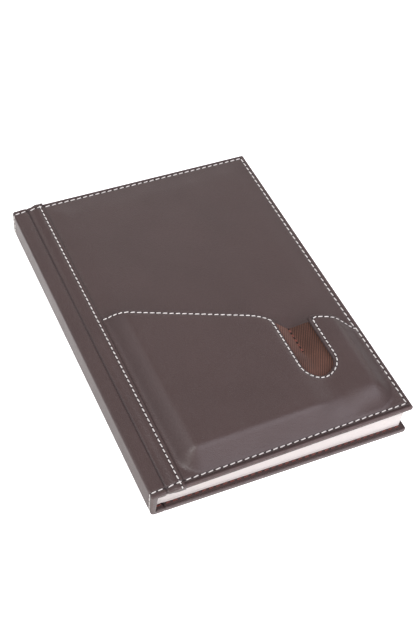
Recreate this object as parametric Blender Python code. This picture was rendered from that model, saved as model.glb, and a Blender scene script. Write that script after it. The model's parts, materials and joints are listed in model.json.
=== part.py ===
"""Daily planner in a sewn leather case, with a pocket for a phone and a pen on its front cover.

It lies closed on its back cover. +X runs from the spine to the fore edge, +Y from tail to head and +Z up.
The origin is the middle of the face that it rests on. All sizes are in metres.
"""

import math

import bmesh
import bpy

# Case
COVER_HEIGHT = 0.240  # tail edge to head edge
COVER_WIDTH = 0.173  # spine face to the front's fore edge
BACK_REACH = 0.0015  # how far the back cover reaches past the front at the fore edge
LEATHER = 0.0009
FRONT_BOARD = 0.0010
BACK_BOARD = 0.0020
LINING = 0.0004  # inner face of each cover
ENDPAPER = 0.00025
CLEAR = 0.00025  # between neighbouring layers
FOLD = 0.0012  # rounding where leather turns over an edge
CROWN = 0.0010  # swell of the padded front
CROWN_RUN = 0.016  # width of the slope up to that swell
PADDING_INSET = 0.009  # seams to the foam that fills the swell

# Hinges and spine
HINGE_INSET = 0.0086  # spine face to the crease that the covers fold on
CREASE = 0.0008  # gap between the two sides of a crease
AXIS_LIFT = 0.0002  # hinge axis outside the leather's face
SPINE_ROUND = 0.0030  # rounding of the spine's long edges
SHOULDER_DROP = 0.0012  # fall of the spine's top from the crease to its rounding
SPINE_BOARD = 0.0015
GAUZE = 0.0003
RAIL = 0.0012  # stiff strips between spine and creases
BOARD_SETBACK = 0.0035  # crease to the front board

# Strip of leather sewn over the spine side of the front
STRIP_EDGE = 0.0197  # spine face to the strip's free edge
STRIP_LAP = 0.0043  # how far it lies over the front leather
STRIP_RAMP = 0.0025  # length of its step up onto the front leather

# Text block
BLOCK_THICKNESS = 0.0114  # at the crease
PAGE_CLEAR = 0.0003  # the covers' inner seam to the paper
COVER_TILT = math.radians(2.35)  # loose pages lift the front cover's fore edge
SECTIONS = 8
TURNING_SECTIONS = 4

# Pocket, measured from the spine face and from the tail edge
POCKET_MARGIN = 0.0020  # pocket edge to cover edge
POCKET_FLANGE = 0.0018  # flat sewn border
LEFT_SLOPE = 0.0142
RIGHT_SLOPE = 0.0185
TAIL_SLOPE = 0.0137
PEN_WIDTH = 0.004  # level top of the pen compartment's arch
VALLEY_WIDTH = 0.0366  # between the two compartments
PHONE_ROOM = 0.0092  # height under the leather, lining included
PEN_ROOM = 0.0100
VALLEY_ROOM = 0.0066
MOUTH_HEIGHT = 0.1301  # tail edge to the line of the mouth, at the strip's edge
MOUTH_SLOPE = -0.41
MOUTH_FLARE = 0.002  # rise of the mouth above that line, at the strip's edge
NOTCH_WIDTH = 0.0208
NOTCH_BOTTOM = 0.0369
NOTCH_LIP = 0.011  # rounding of the notch's left corner
POCKET_LINING = 0.00045
LINING_GAP = 0.0006
LINING_DROP = 0.003  # lining's edge below the mouth
DIVIDER_LENGTH = 0.021  # sewn length of the seam between the two compartments
DIVIDER_RUN = 0.010  # width of the valley on each side of that seam
DIVIDER_FADE = 0.022

# Thread
THREAD = 0.0003  # radius
SEAM_INSET = 0.0032  # edge to seam
STRIP_SEAM_INSET = 0.0024
MOUTH_SEAM_INSET = 0.0021
THREAD_CLEAR = 0.00045

# Fineness of the curved faces
SLOPE_STEPS = 5
VALLEY_STEPS = 6
UPPER_STEPS = 10
CROWN_STEPS = 4
PADDING_STEPS = 2
ROUND_STEPS = 4
LIP_STEPS = 6
NOTCH_STEPS = 12
FOLD_STEPS = 2
SHARP = math.radians(35)  # faces that meet at more than this are shaded apart
FOLDED = math.radians(60)  # and at more than this the leather is folded

# Places that follow from these sizes
HINGE_X = HINGE_INSET - (COVER_WIDTH + BACK_REACH) / 2
HALF = COVER_HEIGHT / 2
PAPER_INSET = SEAM_INSET + THREAD + PAGE_CLEAR  # cover edge to paper edge
LEAF_HALF = HALF - PAPER_INSET
BLOCK_START = LEATHER + SPINE_BOARD + GAUZE + 3 * CLEAR  # from the spine face
SKIN = LEATHER + CLEAR


def stack(top, *layers):
    """(top, underside) of each layer, going inwards from a cover's outer face."""
    levels = []
    for layer in layers:
        levels.append((top, top - layer))
        top -= layer + CLEAR
    return levels


def along(distance):
    """Distance from the spine face, measured from the hinge axis."""
    return distance - HINGE_INSET


def from_tail(distance):
    return distance - HALF


FRONT = dict(zip(
    ("leather", "board", "lining", "pastedown", "flyleaf"),
    stack(-AXIS_LIFT, LEATHER, FRONT_BOARD, LINING, ENDPAPER, ENDPAPER),
))
BACK = dict(zip(
    ("leather", "board", "lining", "pastedown", "flyleaf"),
    stack(-AXIS_LIFT, LEATHER, BACK_BOARD, LINING, ENDPAPER, ENDPAPER),
))
BACK_HINGE_Z = -AXIS_LIFT
BLOCK_LOW = BACK_HINGE_Z - BACK["flyleaf"][1] + CLEAR
BLOCK_HIGH = BLOCK_LOW + BLOCK_THICKNESS
HINGE_Z = BLOCK_HIGH + (CLEAR - FRONT["flyleaf"][1]) / math.cos(COVER_TILT)
COVER_END = along(COVER_WIDTH)
BACK_END = COVER_END + BACK_REACH
CREASE_SIDE = CREASE / 2
PANEL_START = along(STRIP_EDGE - STRIP_LAP)

POCKET_LEFT = STRIP_EDGE + CLEAR
POCKET_RIGHT = COVER_WIDTH - POCKET_MARGIN
PHONE_LEFT = POCKET_LEFT + LEFT_SLOPE
PEN_RIGHT = POCKET_RIGHT - POCKET_FLANGE - RIGHT_SLOPE
PEN_LEFT = PEN_RIGHT - PEN_WIDTH
NOTCH_CENTRE = PEN_LEFT - VALLEY_WIDTH / 2
PHONE_RIGHT = PEN_LEFT - VALLEY_WIDTH  # the phone has the width that is left
TAIL_RAMP = POCKET_MARGIN + POCKET_FLANGE


def smooth(share):
    share = min(1.0, max(0.0, share))
    return share * share * (3 - 2 * share)


def dome(share):
    """A rise that is steep at its foot and level at its top."""
    return math.sin(math.pi / 2 * min(1.0, max(0.0, share)))


def spread(start, end, steps):
    return [start + (end - start) * i / steps for i in range(steps + 1)]


def joined(*runs):
    """Runs that share their end values, as one rising list."""
    values = list(runs[0])
    for run in runs[1:]:
        values += run[1:]
    return values


# Materials and objects


def material(name, colour, roughness):
    made = bpy.data.materials.new(name)
    made.use_nodes = True
    shader = made.node_tree.nodes["Principled BSDF"]
    shader.inputs["Base Color"].default_value = (*colour, 1.0)
    shader.inputs["Roughness"].default_value = roughness
    shader.inputs["Metallic"].default_value = 0.0
    made.diffuse_color = (*colour, 1.0)
    return made


def placed(name, data, look, parent):
    data.materials.append(look)
    made = bpy.data.objects.new(name, data)
    bpy.context.scene.collection.objects.link(made)
    made.parent = parent
    return made


def from_bmesh(name, mesh, look, parent, outward=True):
    if outward:
        bmesh.ops.recalc_face_normals(mesh, faces=mesh.faces)
    data = bpy.data.meshes.new(name)
    mesh.to_mesh(data)
    mesh.free()
    data.shade_smooth()
    data.set_sharp_from_angle(angle=SHARP)
    return placed(name, data, look, parent)


def axis_empty(name, z, rotation):
    """A frame on a hinge axis: its x runs along the cover, and its z points out of the case."""
    made = bpy.data.objects.new(name, None)
    made.location = (HINGE_X, 0.0, z)
    made.rotation_euler = rotation
    bpy.context.scene.collection.objects.link(made)
    return made


# Shapes


def slab(name, x_span, y_span, z_span, look, parent=None):
    mesh = bmesh.new()
    bmesh.ops.create_cube(mesh, size=1.0)
    for vert in mesh.verts:
        spans = (x_span, y_span, z_span)
        vert.co = [(low + high) / 2 + part * (high - low) for part, (low, high) in zip(vert.co, spans)]
    return from_bmesh(name, mesh, look, parent)


def prism(name, profile, half, look, parent=None):
    """A closed x-z outline, extruded from -half to half along y."""
    mesh = bmesh.new()
    face = mesh.faces.new([mesh.verts.new((x, -half, z)) for x, z in profile])
    grown = bmesh.ops.extrude_face_region(mesh, geom=[face])["geom"]
    moved = [item for item in grown if isinstance(item, bmesh.types.BMVert)]
    bmesh.ops.translate(mesh, vec=(0.0, 2 * half, 0.0), verts=moved)
    return from_bmesh(name, mesh, look, parent)


def thicken(made, thickness):
    """Gives a skin its thickness, inwards from the face that shows."""
    shell = made.modifiers.new("thickness", "SOLIDIFY")
    shell.thickness = thickness
    shell.offset = -1.0
    shell.use_even_offset = True
    return made


def ribbon(name, profile, half, thickness, look, parent=None):
    """An open x-z line, extruded along y and thickened to the right of its direction."""
    mesh = bmesh.new()
    near = [mesh.verts.new((x, -half, z)) for x, z in profile]
    far = [mesh.verts.new((x, half, z)) for x, z in profile]
    for i in range(len(profile) - 1):
        mesh.faces.new((near[i], near[i + 1], far[i + 1], far[i]))
    return thicken(from_bmesh(name, mesh, look, parent, outward=False), thickness)


def grid_of(mesh, columns, rows, height):
    """Vertices over columns and rows, with faces whose normals point up."""
    verts = [[mesh.verts.new((u, y, height(u, y))) for y in rows(u)] for u in columns]
    for left, right in zip(verts, verts[1:]):
        for i in range(len(left) - 1):
            mesh.faces.new((left[i], right[i], right[i + 1], left[i + 1]))
    return verts


def quilt(name, columns, rows, underside, thickness, look, parent):
    """A sheet over columns and rows, thickness(u, y) high above underside(u, y)."""
    mesh = bmesh.new()
    grid_of(mesh, columns, rows, underside)
    grown = bmesh.ops.extrude_face_region(mesh, geom=mesh.faces[:])["geom"]
    for item in grown:
        if isinstance(item, bmesh.types.BMVert):
            item.co.z += thickness(item.co.x, item.co.y)
    return from_bmesh(name, mesh, look, parent)


def tray(name, columns, half, face, rim, fore_side, look, parent):
    """Leather over a cover: its face, and skirts down to rim at head, tail and, if asked, the fore edge."""
    mesh = bmesh.new()
    rows = crowned_rows(half)
    verts = grid_of(mesh, columns, lambda u: rows, face)
    ends = [set(column[0] for column in verts), set(column[-1] for column in verts)]
    if fore_side:
        ends.append(set(verts[-1]))
    turned = [edge for edge in mesh.edges if any(set(edge.verts) <= end for end in ends)]
    for item in bmesh.ops.extrude_edge_only(mesh, edges=turned)["geom"]:
        if isinstance(item, bmesh.types.BMVert):
            item.co.z = rim
    folds = [edge for edge in mesh.edges if edge.calc_face_angle(0.0) > FOLDED]
    bmesh.ops.bevel(mesh, geom=folds, offset=FOLD, segments=FOLD_STEPS, profile=0.5, affect="EDGES")

    inner_end = columns[-1] - LEATHER if fore_side else columns[-1]
    inner_half = half - LEATHER
    for item in bmesh.ops.extrude_face_region(mesh, geom=mesh.faces[:])["geom"]:
        if isinstance(item, bmesh.types.BMVert):
            item.co.x = min(item.co.x, inner_end)
            item.co.y = max(-inner_half, min(inner_half, item.co.y))
            item.co.z = max(rim, item.co.z - LEATHER)
    return from_bmesh(name, mesh, look, parent)


def thread(name, points, look, parent):
    """One run of thread along a seam."""
    data = bpy.data.curves.new(name, "CURVE")
    data.dimensions = "3D"
    data.bevel_depth = THREAD
    data.bevel_resolution = 1
    data.use_fill_caps = True
    line = data.splines.new("POLY")
    line.points.add(len(points) - 1)
    for point, place in zip(line.points, points):
        point.co = (*place, 1.0)
    return placed(name, data, look, parent)


# Heights of the front cover's outer layers, above the hinge axis


def swell(u, y):
    """Rise of the padded front: nothing at the seams, full inside their slopes."""
    from_strip = u - along(STRIP_EDGE)
    from_edges = min(COVER_END - SEAM_INSET - u, HALF - SEAM_INSET - abs(y))
    return CROWN * smooth(min(from_strip, from_edges) / CROWN_RUN)


def front_face(u, y):
    return FRONT["leather"][0] + swell(u, y)


def mouth_line(u):
    """y of the pocket's slanting top edge, which flares up where it climbs from the strip."""
    flare = MOUTH_FLARE * (1 - smooth((u - along(POCKET_LEFT)) / LEFT_SLOPE))
    return from_tail(MOUTH_HEIGHT + MOUTH_SLOPE * (u - along(STRIP_EDGE)) + flare)


def room_across(u):
    """Full height under the pocket at u: phone room, the valley at the notch, pen room, both sides."""
    place = u + HINGE_INSET
    if place < PHONE_LEFT:
        return PHONE_ROOM * dome((place - POCKET_LEFT) / LEFT_SLOPE)
    if place < NOTCH_CENTRE:
        share = (NOTCH_CENTRE - place) / (NOTCH_CENTRE - PHONE_RIGHT)
        return VALLEY_ROOM + (PHONE_ROOM - VALLEY_ROOM) * smooth(share)
    if place < PEN_RIGHT:
        share = (place - NOTCH_CENTRE) / (PEN_LEFT - NOTCH_CENTRE)
        return VALLEY_ROOM + (PEN_ROOM - VALLEY_ROOM) * smooth(share)
    return PEN_ROOM * dome((POCKET_RIGHT - POCKET_FLANGE - place) / RIGHT_SLOPE)


def pocket_underside(u, y):
    rise = smooth((y - from_tail(TAIL_RAMP)) / TAIL_SLOPE)
    return front_face(u, y) + CLEAR + room_across(u) * rise


def pocket_face(u, y):
    return pocket_underside(u, y) + LEATHER


def divider_share(u, y):
    """1 on the sewn seam between the compartments, 0 where the lining follows the leather."""
    top = lining_edge(along(NOTCH_CENTRE))
    across = 1 - smooth(abs(u - along(NOTCH_CENTRE)) / DIVIDER_RUN)
    return across * smooth(1 - (top - DIVIDER_LENGTH - y) / DIVIDER_FADE)


def lining_edge(u):
    return mouth_line(u) - LINING_DROP


def lining_underside(u, y):
    sewn = front_face(u, y) + CLEAR
    hung = max(sewn, pocket_underside(u, y) - LINING_GAP - POCKET_LINING)
    return hung + (sewn - hung) * divider_share(u, y)


# Outlines of the pocket


def pocket_columns():
    """u of the pocket's columns, close together where the leather bends."""
    stops = (
        (POCKET_LEFT, PHONE_LEFT, SLOPE_STEPS), (PHONE_LEFT, PHONE_RIGHT, SLOPE_STEPS),
        (PHONE_RIGHT, NOTCH_CENTRE, VALLEY_STEPS), (NOTCH_CENTRE, PEN_LEFT, VALLEY_STEPS),
        (PEN_LEFT, PEN_RIGHT, SLOPE_STEPS), (PEN_RIGHT, POCKET_RIGHT - POCKET_FLANGE, SLOPE_STEPS),
    )
    return [along(place) for place in joined(*(spread(*stop) for stop in stops))]


def pocket_rows(edge, skipped):
    """Rows of a column: flange, tail slope, then evenly up to the edge; the lowest ones may be skipped."""
    ramp = spread(from_tail(TAIL_RAMP), from_tail(TAIL_RAMP + TAIL_SLOPE), SLOPE_STEPS)

    def rows(u):
        return ([from_tail(POCKET_MARGIN)] + joined(ramp, spread(ramp[-1], edge(u), UPPER_STEPS)))[skipped:]

    return rows


def notch_outline(grow):
    """The notch's edge from its left lip down, round and up, moved outwards into the leather by grow."""
    centre, half = along(NOTCH_CENTRE), NOTCH_WIDTH / 2 + grow
    left, right = centre - half, centre + half
    foot = from_tail(NOTCH_BOTTOM) + NOTCH_WIDTH / 2
    start = left - NOTCH_LIP, mouth_line(left - NOTCH_LIP) - grow + CLEAR
    corner = left, mouth_line(left) - grow
    end = left, mouth_line(left) - grow - NOTCH_LIP
    points = []
    for t in spread(0.0, 1.0, LIP_STEPS):
        weights = (1 - t) ** 2, 2 * t * (1 - t), t * t
        points.append(tuple(
            sum(weight * place[i] for weight, place in zip(weights, (start, corner, end))) for i in (0, 1)
        ))
    for turn in spread(math.pi, 2 * math.pi, NOTCH_STEPS):
        points.append((centre + half * math.cos(turn), foot + half * math.sin(turn)))
    return points + [(right, mouth_line(right) - grow)]


def crowned_rows(half):
    """y values across a cover, close together where its face swells at head and tail."""
    flat = half - SEAM_INSET - CROWN_RUN
    rise = spread(flat, half - SEAM_INSET, CROWN_STEPS)
    fall = [-y for y in reversed(rise)]
    return [-half] + joined(fall, [-flat, flat], rise) + [half]


# Assemblies


def build_spine(looks):
    """Leather round the spine, its board and gauze, and the stiff strips up to the creases."""
    edge = HINGE_X - CREASE_SIDE
    face = HINGE_X - HINGE_INSET
    crease_top = HINGE_Z - AXIS_LIFT
    shoulder = crease_top - SHOULDER_DROP
    low_lip = BACK_HINGE_Z - BACK["lining"][1]
    high_lip = BLOCK_HIGH + CLEAR

    def corner(z, start):
        turns = spread(start, start - math.pi / 2, ROUND_STEPS)
        return [(face + SPINE_ROUND * (1 + math.cos(a)), z + SPINE_ROUND * math.sin(a)) for a in turns]

    profile = [(edge, low_lip), (edge, 0.0)]
    profile += corner(SPINE_ROUND, 1.5 * math.pi)
    profile += corner(shoulder - SPINE_ROUND, math.pi)
    profile += [(edge, crease_top), (edge, high_lip)]
    ribbon("spine_leather", profile, HALF, LEATHER, looks["leather"])

    board_x = face + SKIN
    gauze_x = board_x + SPINE_BOARD + CLEAR
    rail_x = gauze_x, edge - SKIN
    inside = HALF - SKIN
    leaf = (-LEAF_HALF, LEAF_HALF)
    slab("spine_board", (board_x, board_x + SPINE_BOARD), (-inside, inside),
         (SPINE_ROUND, shoulder - SPINE_ROUND), looks["board"])
    slab("spine_gauze", (gauze_x, gauze_x + GAUZE), leaf, (BLOCK_LOW, BLOCK_HIGH), looks["gauze"])
    slab("front_hinge_rail", rail_x, leaf, (high_lip, high_lip + RAIL), looks["board"])
    slab("back_hinge_rail", rail_x, leaf, (SKIN, SKIN + RAIL), looks["board"])


def block_line(share, x):
    """Height inside the text block: share 0 is its underside, 1 the face under the front cover."""
    top = BLOCK_HIGH + (x - HINGE_X) * math.tan(COVER_TILT)
    return BLOCK_LOW + (top - BLOCK_LOW) * share


def page_section(name, start, end, low, high, look, axis=None):
    """Pages between two heights of the block, from start to end; on the hinge axis if they turn."""
    gap = CLEAR / 2
    profile = [
        (start, block_line(low, start) + gap), (end, block_line(low, end) + gap),
        (end, block_line(high, end) - gap), (start, block_line(high, start) - gap),
    ]
    if axis is not None:
        profile = [(x - HINGE_X, z - HINGE_Z) for x, z in profile]
    prism(name, profile, LEAF_HALF, look, axis)


def build_text_block(looks, page_axis):
    """Sewn sections: the front ones turn at the crease, and the gutter behind it stays with the spine."""
    fixed_start = HINGE_X - HINGE_INSET + BLOCK_START
    turning_start = HINGE_X + CREASE_SIDE
    end = HINGE_X + BACK_END - PAPER_INSET
    for i in range(SECTIONS):
        high, low = 1 - i / SECTIONS, 1 - (i + 1) / SECTIONS
        turns = i < TURNING_SECTIONS
        start = turning_start if turns else fixed_start
        page_section(f"section_{i + 1}", start, end, low, high, looks["paper"], page_axis if turns else None)
    gutter_low = 1 - TURNING_SECTIONS / SECTIONS
    page_section("gutter_margin", fixed_start, HINGE_X - CREASE_SIDE, gutter_low, 1.0, looks["paper"])


def build_leaves(looks, front_axis, back_axis):
    """Free endpaper leaves: the front one turns with its cover, the back one stays on the block."""
    leaf = (-LEAF_HALF, LEAF_HALF)
    front_span = CREASE_SIDE, COVER_END - PAPER_INSET
    back_span = along(BLOCK_START), BACK_END - PAPER_INSET
    slab("front_flyleaf", front_span, leaf, FRONT["flyleaf"][::-1], looks["endpaper"], front_axis)
    slab("back_flyleaf", back_span, leaf, BACK["flyleaf"][::-1], looks["endpaper"], back_axis)


def build_cover_core(side, levels, end, hinge_rise, looks, axis):
    """Board, lining with its lip up the hinge side, pastedown and inner thread of a cover, out to end."""
    inside = HALF - SKIN
    board_end = end - SKIN
    slab(f"{side}_board", (BOARD_SETBACK, board_end), (-inside, inside),
         levels["board"][::-1], looks["board"], axis)
    under = levels["lining"][1]
    lip = [(board_end, under), (CREASE_SIDE, under), (CREASE_SIDE, hinge_rise)]
    ribbon(f"{side}_lining", lip, inside, LINING, looks["lining"], axis)
    slab(f"{side}_pastedown", (CREASE_SIDE + LINING, end - PAPER_INSET), (-LEAF_HALF, LEAF_HALF),
         levels["pastedown"][::-1], looks["endpaper"], axis)
    seam_y, seam_u = HALF - SEAM_INSET, end - SEAM_INSET
    level = under - CLEAR - THREAD
    corners = ((SEAM_INSET, -seam_y), (seam_u, -seam_y), (seam_u, seam_y), (SEAM_INSET, seam_y))
    thread(f"{side}_inner_stitching", [(u, y, level) for u, y in corners], looks["inner_thread"], axis)


def build_back_cover(looks, axis):
    face = BACK["leather"][0]
    rim = BACK["lining"][1]
    columns = [CREASE_SIDE, BACK_END]
    tray("back_leather", columns, HALF, lambda u, y: face, rim, True, looks["leather"], axis)
    build_cover_core("back", BACK, BACK_END, face - SKIN, looks, axis)


def panel_columns(start, end):
    """u values across the front, close together where its face swells."""
    rise_start, rise_end = along(STRIP_EDGE), COVER_END - SEAM_INSET
    rise = spread(rise_start, rise_start + CROWN_RUN, CROWN_STEPS)
    fall = spread(rise_end - CROWN_RUN, rise_end, CROWN_STEPS)
    return [start] + rise + fall + [end]


def padded_span(low, high):
    """Values from low to high that lie well inside the swell, close together on its slopes."""
    rise = spread(low + PADDING_INSET, low + CROWN_RUN, PADDING_STEPS)
    fall = spread(high - CROWN_RUN, high - PADDING_INSET, PADDING_STEPS)
    return rise + fall


def strip_face(u, y):
    """The strip runs level with the crease, then steps up onto the front leather."""
    step = smooth((u - (PANEL_START - STRIP_RAMP)) / STRIP_RAMP)
    return FRONT["leather"][0] + SKIN * step


def build_front_cover(looks, axis):
    rim = FRONT["lining"][1]
    tray("front_leather", panel_columns(PANEL_START, COVER_END), HALF, front_face,
         rim, True, looks["leather"], axis)

    foam_low = FRONT["leather"][1]
    columns = padded_span(along(STRIP_EDGE), COVER_END - SEAM_INSET)
    rows = padded_span(SEAM_INSET - HALF, HALF - SEAM_INSET)
    quilt("front_padding", columns, lambda u: rows, lambda u, y: foam_low,
          lambda u, y: swell(u, y) - CLEAR, looks["foam"], axis)

    ramp = spread(PANEL_START - STRIP_RAMP, PANEL_START, SLOPE_STEPS)
    columns = [CREASE_SIDE] + ramp + [along(STRIP_EDGE)]
    tray("hinge_strip", columns, HALF + SKIN, strip_face, rim, False, looks["leather"], axis)
    build_cover_core("front", FRONT, COVER_END, FRONT["leather"][1] - CLEAR, looks, axis)


def build_pocket(looks, axis):
    """Formed leather with its thumb notch, and the cloth lining that splits it into two compartments."""
    columns = pocket_columns()
    panel = quilt("pocket_panel", columns + [along(POCKET_RIGHT)], pocket_rows(mouth_line, 0),
                  pocket_underside, lambda u, y: LEATHER, looks["leather"], axis)

    edge = notch_outline(0.0)
    above = mouth_line(edge[0][0]) + NOTCH_WIDTH
    outline = edge + [(edge[-1][0], above), (edge[0][0], above)]
    mesh = bmesh.new()
    face = mesh.faces.new([mesh.verts.new((u, y, 0.0)) for u, y in outline])
    grown = bmesh.ops.extrude_face_region(mesh, geom=[face])["geom"]
    top = max(PHONE_ROOM, PEN_ROOM, VALLEY_ROOM) + CROWN + LEATHER + FOLD
    for item in grown:
        if isinstance(item, bmesh.types.BMVert):
            item.co.z = top
    cutter = from_bmesh("notch_cutter", mesh, looks["leather"], axis)
    cutter.hide_render = True
    cutter.display_type = "WIRE"
    cut = panel.modifiers.new("notch", "BOOLEAN")
    cut.object = cutter
    cut.operation = "DIFFERENCE"

    quilt("pocket_lining", columns[2:-2], pocket_rows(lining_edge, 3), lining_underside,
          lambda u, y: POCKET_LINING, looks["cloth"], axis)


def build_threads(looks, axis):
    """Seams that show on the front: round its edge, down the strip, along the mouth, and the divider."""
    lift = THREAD + THREAD_CLEAR
    start, end = along(POCKET_LEFT) + SEAM_INSET, COVER_END - SEAM_INSET
    seam_y = HALF - SEAM_INSET
    mouth_end = mouth_line(end)
    on_pocket = [(start, -seam_y), (end, -seam_y), (end, mouth_end - SEAM_INSET)]
    on_cover = [(end, mouth_end + SEAM_INSET), (end, seam_y), (start, seam_y)]
    edge = [(u, y, pocket_face(u, y) + lift) for u, y in on_pocket]
    edge += [(u, y, front_face(u, y) + lift) for u, y in on_cover]
    thread("front_edge_stitching", edge, looks["thread"], axis)

    seam_u = along(STRIP_EDGE - STRIP_SEAM_INSET)
    level = strip_face(seam_u, 0.0) + lift
    thread("strip_seam_stitching", [(seam_u, -HALF, level), (seam_u, HALF, level)], looks["thread"], axis)

    notch = notch_outline(MOUTH_SEAM_INSET)
    columns = pocket_columns()
    route = [(u, mouth_line(u) - MOUTH_SEAM_INSET) for u in columns if u < notch[0][0] - CLEAR]
    route += notch
    route += [(u, mouth_line(u) - MOUTH_SEAM_INSET) for u in columns if u > notch[-1][0] + CLEAR]
    mouth = [(u, y, pocket_face(u, y) + lift) for u, y in route]
    thread("pocket_mouth_stitching", mouth, looks["thread"], axis)

    seam = along(NOTCH_CENTRE)
    top = lining_edge(seam) - CLEAR
    places = [(seam, y) for y in spread(top, top - DIVIDER_LENGTH, SLOPE_STEPS)]
    thread("divider_stitching", [(u, y, lining_underside(u, y) + POCKET_LINING + lift) for u, y in places],
           looks["inner_thread"], axis)


def main():
    for item in list(bpy.data.objects):
        bpy.data.objects.remove(item)
    looks = {
        "leather": material("brown_leather", (0.075, 0.052, 0.048), 0.42),
        "board": material("grey_board", (0.36, 0.34, 0.31), 0.9),
        "foam": material("white_foam", (0.80, 0.79, 0.76), 0.9),
        "lining": material("brown_lining", (0.060, 0.042, 0.038), 0.55),
        "endpaper": material("cream_endpaper", (0.86, 0.81, 0.74), 0.8),
        "paper": material("cream_paper", (0.88, 0.83, 0.77), 0.85),
        "gauze": material("binding_gauze", (0.72, 0.70, 0.66), 0.95),
        "cloth": material("brown_twill", (0.105, 0.058, 0.042), 0.9),
        "thread": material("white_thread", (0.80, 0.77, 0.74), 0.7),
        "inner_thread": material("russet_thread", (0.20, 0.055, 0.040), 0.7),
    }
    front_axis = axis_empty("front_hinge_axis", HINGE_Z, (0.0, -COVER_TILT, 0.0))
    page_axis = axis_empty("page_turn_axis", HINGE_Z, (0.0, 0.0, 0.0))
    back_axis = axis_empty("back_hinge_axis", BACK_HINGE_Z, (math.pi, 0.0, 0.0))
    build_spine(looks)
    build_text_block(looks, page_axis)
    build_leaves(looks, front_axis, back_axis)
    build_back_cover(looks, back_axis)
    build_front_cover(looks, front_axis)
    build_pocket(looks, front_axis)
    build_threads(looks, front_axis)


main()
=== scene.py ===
"""Looks of the daily planner: leather, thread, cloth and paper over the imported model.

Lengths are in metres. A cover's own frame is (u, y, w): u runs from its hinge axis to the fore edge,
y from tail to head, and w points out of the case.
"""

import json
import math

import bmesh
import bpy
import numpy as np
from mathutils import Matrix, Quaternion, Vector
from mathutils.geometry import delaunay_2d_cdt


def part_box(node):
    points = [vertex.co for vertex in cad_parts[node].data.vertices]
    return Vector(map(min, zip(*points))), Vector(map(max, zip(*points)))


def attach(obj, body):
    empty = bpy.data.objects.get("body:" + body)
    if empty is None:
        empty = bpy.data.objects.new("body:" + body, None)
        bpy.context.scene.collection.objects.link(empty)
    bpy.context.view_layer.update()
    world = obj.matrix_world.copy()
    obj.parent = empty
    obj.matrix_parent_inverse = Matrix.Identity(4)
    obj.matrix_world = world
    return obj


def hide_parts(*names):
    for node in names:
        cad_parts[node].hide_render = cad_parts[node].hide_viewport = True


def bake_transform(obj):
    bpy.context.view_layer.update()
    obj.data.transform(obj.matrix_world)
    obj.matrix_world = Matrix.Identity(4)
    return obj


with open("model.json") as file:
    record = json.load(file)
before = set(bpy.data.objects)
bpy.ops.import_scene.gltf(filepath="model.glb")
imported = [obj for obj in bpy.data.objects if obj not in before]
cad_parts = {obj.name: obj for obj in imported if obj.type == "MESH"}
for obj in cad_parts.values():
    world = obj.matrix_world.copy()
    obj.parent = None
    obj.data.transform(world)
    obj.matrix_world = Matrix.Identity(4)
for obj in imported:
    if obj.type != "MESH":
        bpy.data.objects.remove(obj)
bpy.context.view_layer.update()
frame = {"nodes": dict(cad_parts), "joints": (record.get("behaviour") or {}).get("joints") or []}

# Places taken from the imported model
JOINTS = {joint["name"]: joint for joint in frame["joints"]}
FRONT_HINGE = Vector(JOINTS["front_cover_hinge"]["pos_m"])
BACK_HINGE = Vector(JOINTS["back_cover_hinge"]["pos_m"])
SPINE_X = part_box("spine_leather")[0].x
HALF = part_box("back_leather")[1].y
BACK_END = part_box("back_leather")[1].x - BACK_HINGE.x
HINGE_INSET = FRONT_HINGE.x - SPINE_X
LEAF_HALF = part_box("section_8")[1].y
LEAF_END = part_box("front_flyleaf")[1].x - FRONT_HINGE.x
BLOCK_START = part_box("section_8")[0].x - FRONT_HINGE.x
BLOCK_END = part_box("section_8")[1].x - FRONT_HINGE.x
BLOCK_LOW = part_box("section_8")[0].z
BLOCK_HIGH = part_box("gutter_margin")[1].z

# Case
COVER_WIDTH = 0.173  # spine face to the front's fore edge
COVER_END = COVER_WIDTH - HINGE_INSET
COVER_TILT = math.radians(2.35)  # the front cover leans on the loose pages
LEATHER = 0.0009
SKIN = 0.00115  # leather and the clearance under it
FACE = -0.0002  # the leather's face, from a hinge axis
CLEAR = 0.0001  # so that faces of leather don't touch
FRONT_RIM = FACE - 0.0028  # the covers' inner faces
BACK_RIM = FACE - 0.0038
EDGE_ROUND = 0.0013
RIM_ROUND = 0.0007
EDGE_GROOVE = 0.00022  # where the outer and the inner leather meet on a cover's edge
GROOVE_SHADE = 0.5
GROOVE_PROFILE = ((0.25, 0.1), (0.45, 0.7), (0.55, 1.0), (0.65, 0.7), (0.85, 0.1))  # place and depth
EDGE_SHARE, RIM_SHARE = 0.45, 0.3  # most of an edge's depth that its two roundings take up
WRAP_SHARE = 0.42  # most of its depth that a sheet or a rounding takes up round the spine
EDGE_WEAR_AND_HIGHLIGHT = (0.9, 0.8)  # paler where worn, with a painted highlight, on a cover's edge, round its top and down its side
RIM_WEAR, END_WEAR = 0.3, 0.4  # of a cover's inner rim, and of the spine's and the strip's ends
CUT_SHADE = (0.35, 0.6)  # of the pocket's cut edge, on its face and on its side
CROWN, CROWN_RUN = 0.0010, 0.016  # the padded front's rise, and where it is full
UNEVEN = 0.00006  # slow waves of leather over its padding
WAVE_LENGTHS = (0.011, 0.017)  # of those waves, along u and y
WAVE_DRIFTS, WAVE_SWAY = (0.029, 0.023), (1.3, 0.9)  # over which they wander, and by how much

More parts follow.
